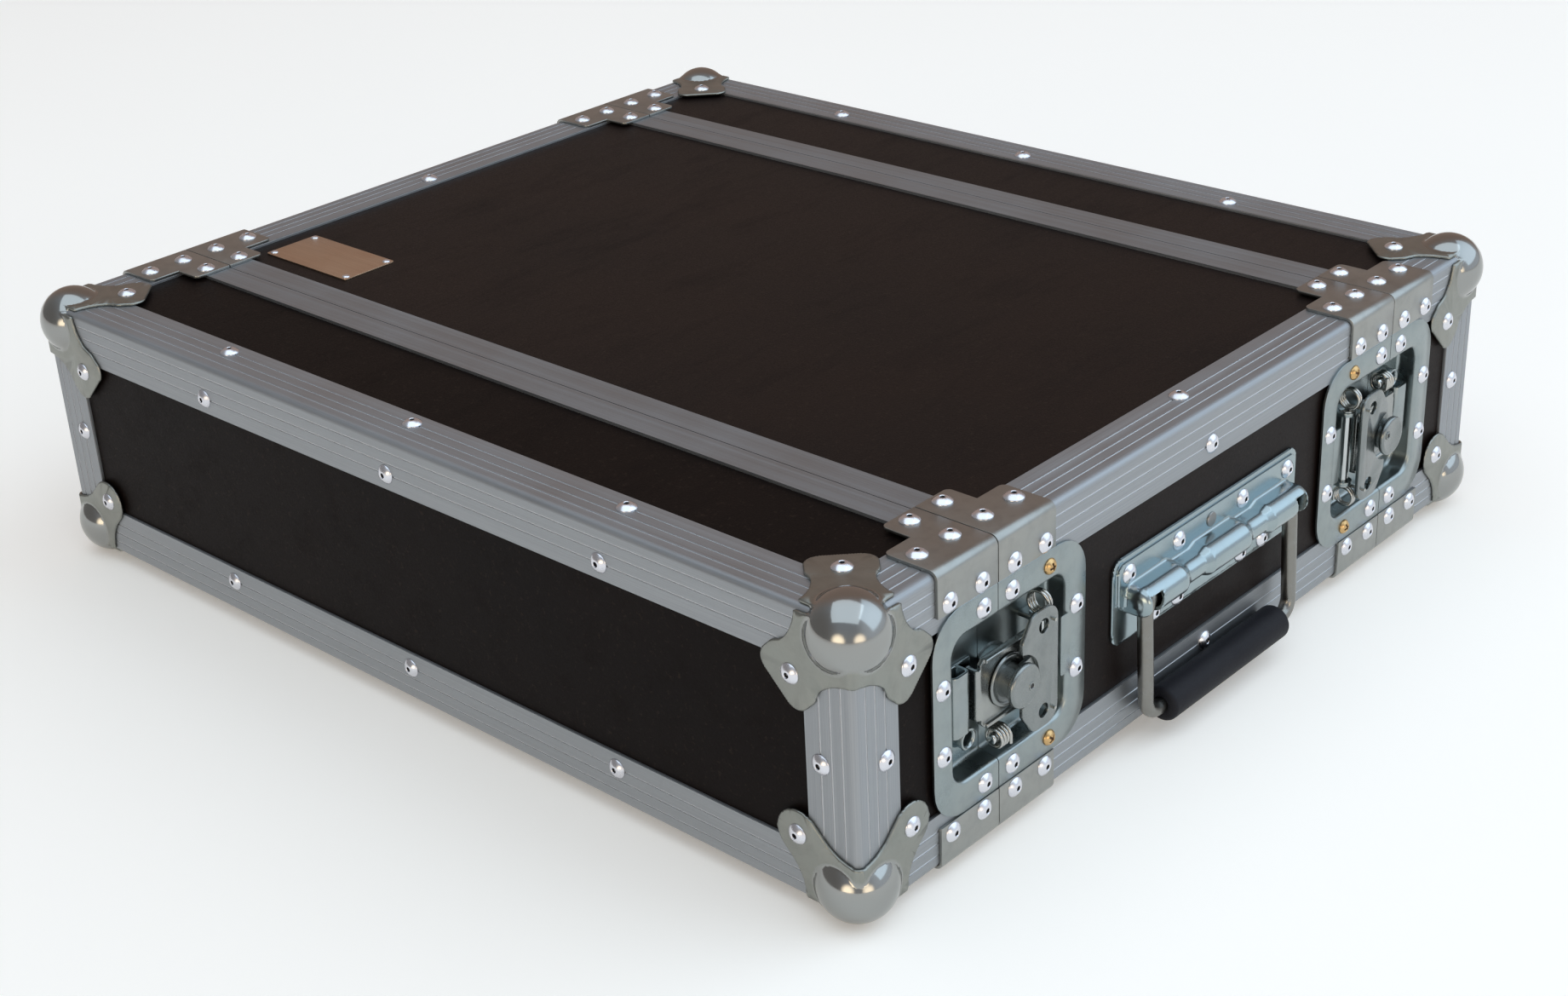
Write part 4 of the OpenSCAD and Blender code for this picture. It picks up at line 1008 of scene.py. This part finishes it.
def latch_coils():
    """Eye springs beside the axle, wound round lines towards the seam, and one at the latch's foot."""
    lie = Matrix(((0, 0, 1, 0), (1, 0, 0, 0), (0, 1, 0, 0), (0, 0, 0, 1)))
    eye = coil(4.7, 1.7, 2.25, 9.5, 3)
    coils = []
    for sy in (1, -1):
        mirror = Matrix.Diagonal((1, sy, 1, 1))
        coils.append(moved(eye, mirror @ shift(28.4, 25.2, -1.2) @ lie @ turn(0, 0, 180)))
    coils.append(moved(coil(4.3, 1.85, 3.25, 4, 3.5), shift(-0.9, PIN_Y, PIN_Z) @ lie))
    return joined(coils)


coils = at_latches(latch_coils())
made("latch_coils", coils, [SPRING], "case_body", "latch_springs", smooth=60)


# Wing plates, sliding hooks and eyelets
def wing_shape():
    """Plate cut out round the post, its hub, and the post with collar, rolled head and eccentric."""
    cut_r, left, right = 12.1, 1.4, 24.9
    start = math.acos(left / cut_r)
    inner = arc(np.linspace(-start, start, 25), cut_r)
    upper_half = [(left, 17, 4), (8.6, 27.2, 5.5), (right, 27.2, 7)]
    outer = fillet(upper_half + [(x, -y, r) for x, y, r in reversed(upper_half)])
    holes = [circle(3.15, 15.4, 19.6 * sy, 28) for sy in (1, -1)]
    hub = [(0, -6), (14, -8.5), (20, -8.5), (20, 8.5), (14, 8.5), (0, 6)]
    collar = [
        (0, -2.28), (8.9, -2.28), (8.9, 0.02), (10.9, 0.02), (11.4, 0.25), (11.5, 0.6),
        (11.2, 1.05), (10.6, 1.3), (9.9, 1.2), (9.4, 0.8), (9.1, 0.55), (7.5, 0.5),
    ]
    waist = [(7.35, 1.2), (7.1, 3.2), (7.35, 5.6), (7.6, 6.6)]
    head = [
        (8.6, 6.7), (9.2, 6.95), (9.5, 7.5), (9.5, 8.7), (9.25, 9.3), (8.75, 9.62), (8.2, 9.7),
        (7.6, 9.6), (7.1, 9.4), (0, 9.4),
    ]
    shaft = [(0, -9.85), (4.6, -9.85), (5, -9.5), (5, -2.2), (0, -2.2)]
    pip = [(2.1, 9.3), (2.0, 9.58), (1.6, 9.68), (1.25, 9.55), (1.1, 9.42), (0, 9.42)]
    # The dimple's floor takes the near-black second material: painted shade.
    pip = moved(revolve(pip, 20, [0, 0, 0, 0, 1]), shift(3.9, -1.6, 0))
    plates = [plate(outer + inner, 4.7, 6.7, 0.45, holes), plate(hub, 2.9, 4.9, 0.3)]
    return joined(plates + [revolve(collar + waist + head, 48), revolve(shaft, 28), pip])


def hook_field(p):
    """Sliding plate with a slot round the post, a claw behind the keeper, and two lips."""
    top, under, end, half = -0.3, -2.3, 25, 15.5
    claw_x, claw_half, claw_low, sheet = -9.2, 11.5, -5.8, 2.0
    slot_x, slot_r, slot_half = 8.5, 9.55, 1.2
    lip_y, lip_from, lip_top = 14.75, -7.0, 1.0
    x, y, z = np.moveaxis(p, -1, 0)
    y = np.abs(y)
    outline = overlap(y - half, x - end, (y - x - 22.7) / math.sqrt(2))
    straight = overlap(np.abs(x - slot_x) - slot_r, y - slot_half)
    slot = union(straight, np.hypot(x - slot_x, np.maximum(y - slot_half, 0)) - slot_r)
    flat = slab(overlap(outline, -slot, claw_x - x), z, under, top)
    bend = overlap(np.hypot(x - claw_x, z - under) - sheet, x - claw_x, under - z)
    claw = slab(np.abs(x - claw_x + sheet / 2) - sheet / 2, z, claw_low, under)
    lips = overlap(np.abs(y - lip_y) - 0.75, lip_from - x, x - end)
    body = union(flat, overlap(union(bend, claw), y - claw_half))
    return smooth_min(body, slab(lips, z, under, lip_top), 0.5)


wing_form = moved(wing_shape(), shift(POST_X, 0, 0))
hook_form = solid_from(hook_field, (-12.1, -16.3, -6.7), (26.0, 16.3, 1.9), 0.45)
bush = [(5.3, -9.4), (5.3, -8.6), (4.6, -7.6), (4.5, -4.6), (4.9, -4.0), (4.6, -3.4), (3.9, -3.2)]
bush += [(3.2, -3.6), (2.9, -4.4), (2.9, -9.2), (0, -9.2)]
# The floor of the eyelet's hole takes the dark second material: painted shade.
eyelet = moved(revolve(bush, 32, [0] * 9 + [1]), shift(-13.4, -19.2, 0))
for end, end_name in ENDS:
    lid = f"{end_name}_lid"
    softened(f"{end_name}_seam_braces", f"body_{end_name}_braces", BRACE, "case_body")
    softened(f"{lid}_seam_braces", f"{lid}_braces", BRACE, lid)
    for side, name in SIDES:
        place = latch_at(side, end)
        latch = f"{end_name}_{name}"
        made(
            f"wing_plate_{latch}", moved(wing_form, place), [WING, HOLE_SHADE],
            f"wing_{latch}", f"latch_wing_{latch}", smooth=40,
        )
        made(
            f"claw_plate_{latch}", moved(hook_form, place), [HOOK],
            f"hook_{latch}", f"latch_hook_{latch}", smooth=40, keep=0.3,
        )
        softened(f"{lid}_catch_{name}", f"{lid}_keeper_{name}", KEEPER, lid, 0.5)
        made(
            f"{lid}_eyelet_{name}", moved(eyelet, place), [KEEPER, STUB_AND_HOLE_SHADE], lid,
            None, smooth=45,
        )
        softened(f"rail_{latch}", f"rack_rail_{latch}", RAIL, "case_body", 0.25)


def rod_shape():
    """Axle between its two ears, with headed ends, and the short pin of the lower spring."""
    headed = [(0, -19.7), (3.4, -19.7), (3.7, -19.5), (3.7, -19.05), (2.5, -19.02)]
    axle = revolve(headed + [(r, -z) for r, z in reversed(headed)], 24)
    pin = revolve([(0, -2.4), (1.9, -2.4), (2.2, -2.1), (2.2, 7.0), (1.9, 7.3), (0, 7.3)], 20)
    axle = moved(axle, shift(AXLE_X, 0, AXLE_Z) @ turn(90, 0, 0))
    return joined([axle, moved(pin, shift(0, PIN_Y, PIN_Z) @ turn(0, 90, 0))])


axles = at_latches(rod_shape())
made("axle_rods", axles, [AXLE], "case_body", "latch_axles", smooth=50)
softened("blank_plate", "name_plate", BADGE, "case_body", 0.15)


# Rivets and screws
def islands(node):
    """Foot, outward axis, its sign and radius of each separate solid of a CAD node."""
    bm = bmesh.new()
    bm.from_mesh(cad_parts[node].data)
    bmesh.ops.remove_doubles(bm, verts=bm.verts[:], dist=1e-6)
    seen, found = set(), []
    for start in bm.verts:
        if start in seen:
            continue
        stack, group = [start], []
        seen.add(start)
        while stack:
            v = stack.pop()
            group.append(v.co[:])
            for e in v.link_edges:
                o = e.other_vert(v)
                if o not in seen:
                    seen.add(o)
                    stack.append(o)
        points = np.array(group) * 1000
        low, high = points.min(0), points.max(0)
        size = high - low
        axis = int(np.argmin(size))
        foot = (low + high) / 2
        sign = 1 if (foot - (0, 0, MID))[axis] > 0 else -1
        foot[axis] = low[axis] if sign > 0 else high[axis]
        found.append((foot, axis, sign, float(np.delete(size, axis).max() / 2)))
    bm.free()
    return found


def stand(foot, axis, sign, spin):
    """Puts a form drawn around z on a face, with its foot at a point."""
    normal = Vector((0, 0, 0))
    normal[axis] = sign
    m = normal.to_track_quat("Z", "Y").to_matrix().to_4x4()
    return shift(*foot) @ m @ Matrix.Rotation(spin, 4, "Z")


def rivet_shape(k):
    """Blind rivet: rimmed dome, a bore with painted shade in it, and the broken end of its pin, which
    leans with k.
    """
    lean = 0.28
    depth = 0.75 + 0.4 * ((k * 7) % 5) / 4
    dome = [(4.5, 0), (4.5, 0.3), (4.32, 0.52), (3.75, 1.05), (2.95, 1.62), (2.2, 1.98), (1.62, 2.2)]
    bore = [(1.3, 2.14), (1.1, 1.9), (1.05, 0.5), (0, 0.5)]
    # The bore's wall and floor take the near-black second material: painted shade.
    head = revolve(dome + bore, 24, [0] * 8 + [1] * 2)
    pin = revolve([(0.72, 0.5), (0.72, depth), (0.5, depth + 0.25), (0, depth + 0.3)], 10, [2] * 3)
    pin.points[:, 0] += lean * math.cos(2.4 * k)
    pin.points[:, 1] += lean * math.sin(2.4 * k)
    return joined([head, pin])


def small_pin():
    return revolve([(2, 0), (1.95, 0.2), (1.6, 0.55), (1.0, 0.8), (0.4, 0.9), (0, 0.9)], 18)


def rivets(name, node, body):
    """A rivet on each one of a CAD node, or a small pin where that one is small."""
    small = 3
    shapes = []
    for k, (foot, axis, sign, radius) in enumerate(islands(node)):
        form = small_pin() if radius < small else rivet_shape(k)
        shapes.append(moved(form, stand(foot, axis, sign, 0.7 * k)))
    made(name, joined(shapes), [RIVET, HOLE_SHADE, STUB_AND_HOLE_SHADE], body, node, smooth=50)


rivets("sleeve_rivets", "body_rivets", "case_body")
for _end, end_name in ENDS:
    rivets(f"{end_name}_lid_rivet_heads", f"{end_name}_lid_rivets", f"{end_name}_lid")


def screw_field(p):
    """Domed head with a cross recess that narrows inwards."""
    radius, height, rim, recess, floor_z = 3.8, 2.4, 3.65, 1.6, 0.9
    x, y, z = np.moveaxis(p, -1, 0)
    dome_r = (radius**2 + height**2) / (2 * height)
    dome = np.sqrt(x**2 + y**2 + (z - height + dome_r) ** 2) - dome_r
    head = overlap(smooth_max(dome, np.hypot(x, y) - rim, 0.4), -z)
    depth = np.clip((height - z) / recess, 0, 1)
    arm, wide = 2.3 - 0.9 * depth, 0.52 - 0.12 * depth
    x, y = np.abs(x), np.abs(y)
    cross = union(overlap(x - arm, y - wide), overlap(y - arm, x - wide))
    return smooth_max(head, -overlap(cross, floor_z - z), 0.25)


screw = solid_from(screw_field, (-4.2, -4.2, -0.4), (4.2, 4.2, 3.0), 0.2)
# Faces in the cross recess take the dark brass: painted shade.
for i, face in enumerate(screw.faces):
    x, y, z = screw.points[list(face)].mean(0)
    in_recess = math.hypot(x, y) < 2.6 and z < 2.1 - 0.09 * (x * x + y * y)
    screw.tags[i] = int(in_recess)
screws = []
for k, (foot, axis, sign, _radius) in enumerate(islands("latch_screws")):
    screws.append(moved(screw, stand(foot, axis, sign, 0.35 + 0.9 * k)))
made(
    "brass_screws", joined(screws), [BRASS, RECESS_SHADE], "case_body",
    "latch_screws", smooth=50, keep=0.3,
)


# Floor, light and camera
def floor():
    """Pale paper that glows faintly to the camera and in mirrors."""
    half, below, glow = 14, 0.0004, 0.22
    bm = bmesh.new()
    bmesh.ops.create_grid(bm, x_segments=2, y_segments=2, size=half)
    mesh = bpy.data.meshes.new("floor")
    bm.to_mesh(mesh)
    bm.free()
    o = bpy.data.objects.new("floor", mesh)
    bpy.context.scene.collection.objects.link(o)
    o.location = (0, 0, -below)
    p = Paint("floor_paper", roughness=0.9, Specular_IOR_Level=0.1)
    p.color(p.mix(p.spread(p.noise(3, 2), 0.3, 0.7), (0.88, 0.852, 0.81), (0.885, 0.857, 0.815)))
    rays = p.add("ShaderNodeLightPath").outputs
    seen = p.plus(rays["Is Glossy Ray"], rays["Is Transmission Ray"])
    seen = p.plus(rays["Is Camera Ray"], seen)
    p.put(p.shader.inputs["Emission Color"], (1.0, 0.95, 0.88))
    p.put(p.shader.inputs["Emission Strength"], p.times(p.math("MINIMUM", seen, 1.0), glow))
    mesh.materials.append(p.material)


# Patches of light: direction, cosines where it starts and is full, and colour
PATCHES = (
    ((-0.62, 0.70, 0.30), 0.35, 0.9, (0.37, 0.278, 0.236)),
    ((0.80, 0.55, 0.25), 0.5, 0.95, (0.74, 0.80, 0.88)),
    ((-0.70, -0.70, 0.05), 0.4, 0.95, (0.26, 0.25, 0.245)),
    ((0.26, -0.96, 0.07), 0.94, 0.998, (3.4, 2.85, 2.15)),
    ((0.93, -0.37, 0.07), 0.95, 0.998, (3.0, 2.55, 2.0)),
)


def dome_light():
    """Soft room light: cool on the right, dim on the left, with two warm low lamps in front."""
    world = bpy.data.worlds.new("studio")
    bpy.context.scene.world = world
    world.use_nodes = True
    n = Nodes(world.node_tree)
    way = n.add("ShaderNodeTexCoord").outputs["Generated"]

    def patch(direction, start, full):
        facing = n.vector("DOT_PRODUCT", way, tuple(Vector(direction).normalized()))
        return n.spread(facing, start, full, 0, 1, smooth=True)

    tone = n.mix(patch((0, 0, 1), -0.1, 0.9), (0.46, 0.46, 0.47), (0.40, 0.43, 0.48))
    for direction, start, full, color in PATCHES:
        tone = n.mix(patch(direction, start, full), tone, color)
    n.put(n.tree.nodes["Background"].inputs["Color"], tone)


def lamp(name, place, target, size, power, color):
    data = bpy.data.lights.new(name, "AREA")
    data.shape = "RECTANGLE"
    data.size, data.size_y = size
    data.energy = power
    data.color = color
    o = bpy.data.objects.new(name, data)
    bpy.context.scene.collection.objects.link(o)
    aim = (Vector(target) - Vector(place)).to_track_quat("-Z", "Y")
    o.matrix_world = shift(*place) @ aim.to_matrix().to_4x4()


# The photo's camera: place in metres, angles in degrees, and focal length in the photo's pixels
CAMERA_PLACE = (0.75053, -0.78274, 0.55782)
CAMERA_TURN, CAMERA_DOWN, CAMERA_LEAN = 43.3301, 26.6439, -2.8242
FOCAL, PHOTO_WIDE = 2753.1, 1841


def photo_camera():
    camera = bpy.data.cameras.new("camera")
    o = bpy.data.objects.new("camera", camera)
    bpy.context.scene.collection.objects.link(o)
    tilt = turn(90 - CAMERA_DOWN, 0, 0) @ turn(0, 0, CAMERA_LEAN)
    o.matrix_world = shift(*CAMERA_PLACE) @ turn(0, 0, CAMERA_TURN) @ tilt
    camera.sensor_width = 36
    camera.sensor_fit = "HORIZONTAL"
    camera.lens = FOCAL / PHOTO_WIDE * camera.sensor_width
    camera.clip_start, camera.clip_end = 0.01, 100
    bpy.context.scene.camera = o


floor()
dome_light()
lamp("window", (1.9, 1.6, 2.0), (0.1, 0, 0.05), (3.6, 2.8), 34, (0.64, 0.83, 1.0))
lamp("top", (0.3, -0.5, 2.7), (0, 0, 0.05), (3.6, 3.2), 40, (0.78, 0.905, 1.0))
photo_camera()
bpy.context.scene.view_settings.view_transform = "Standard"
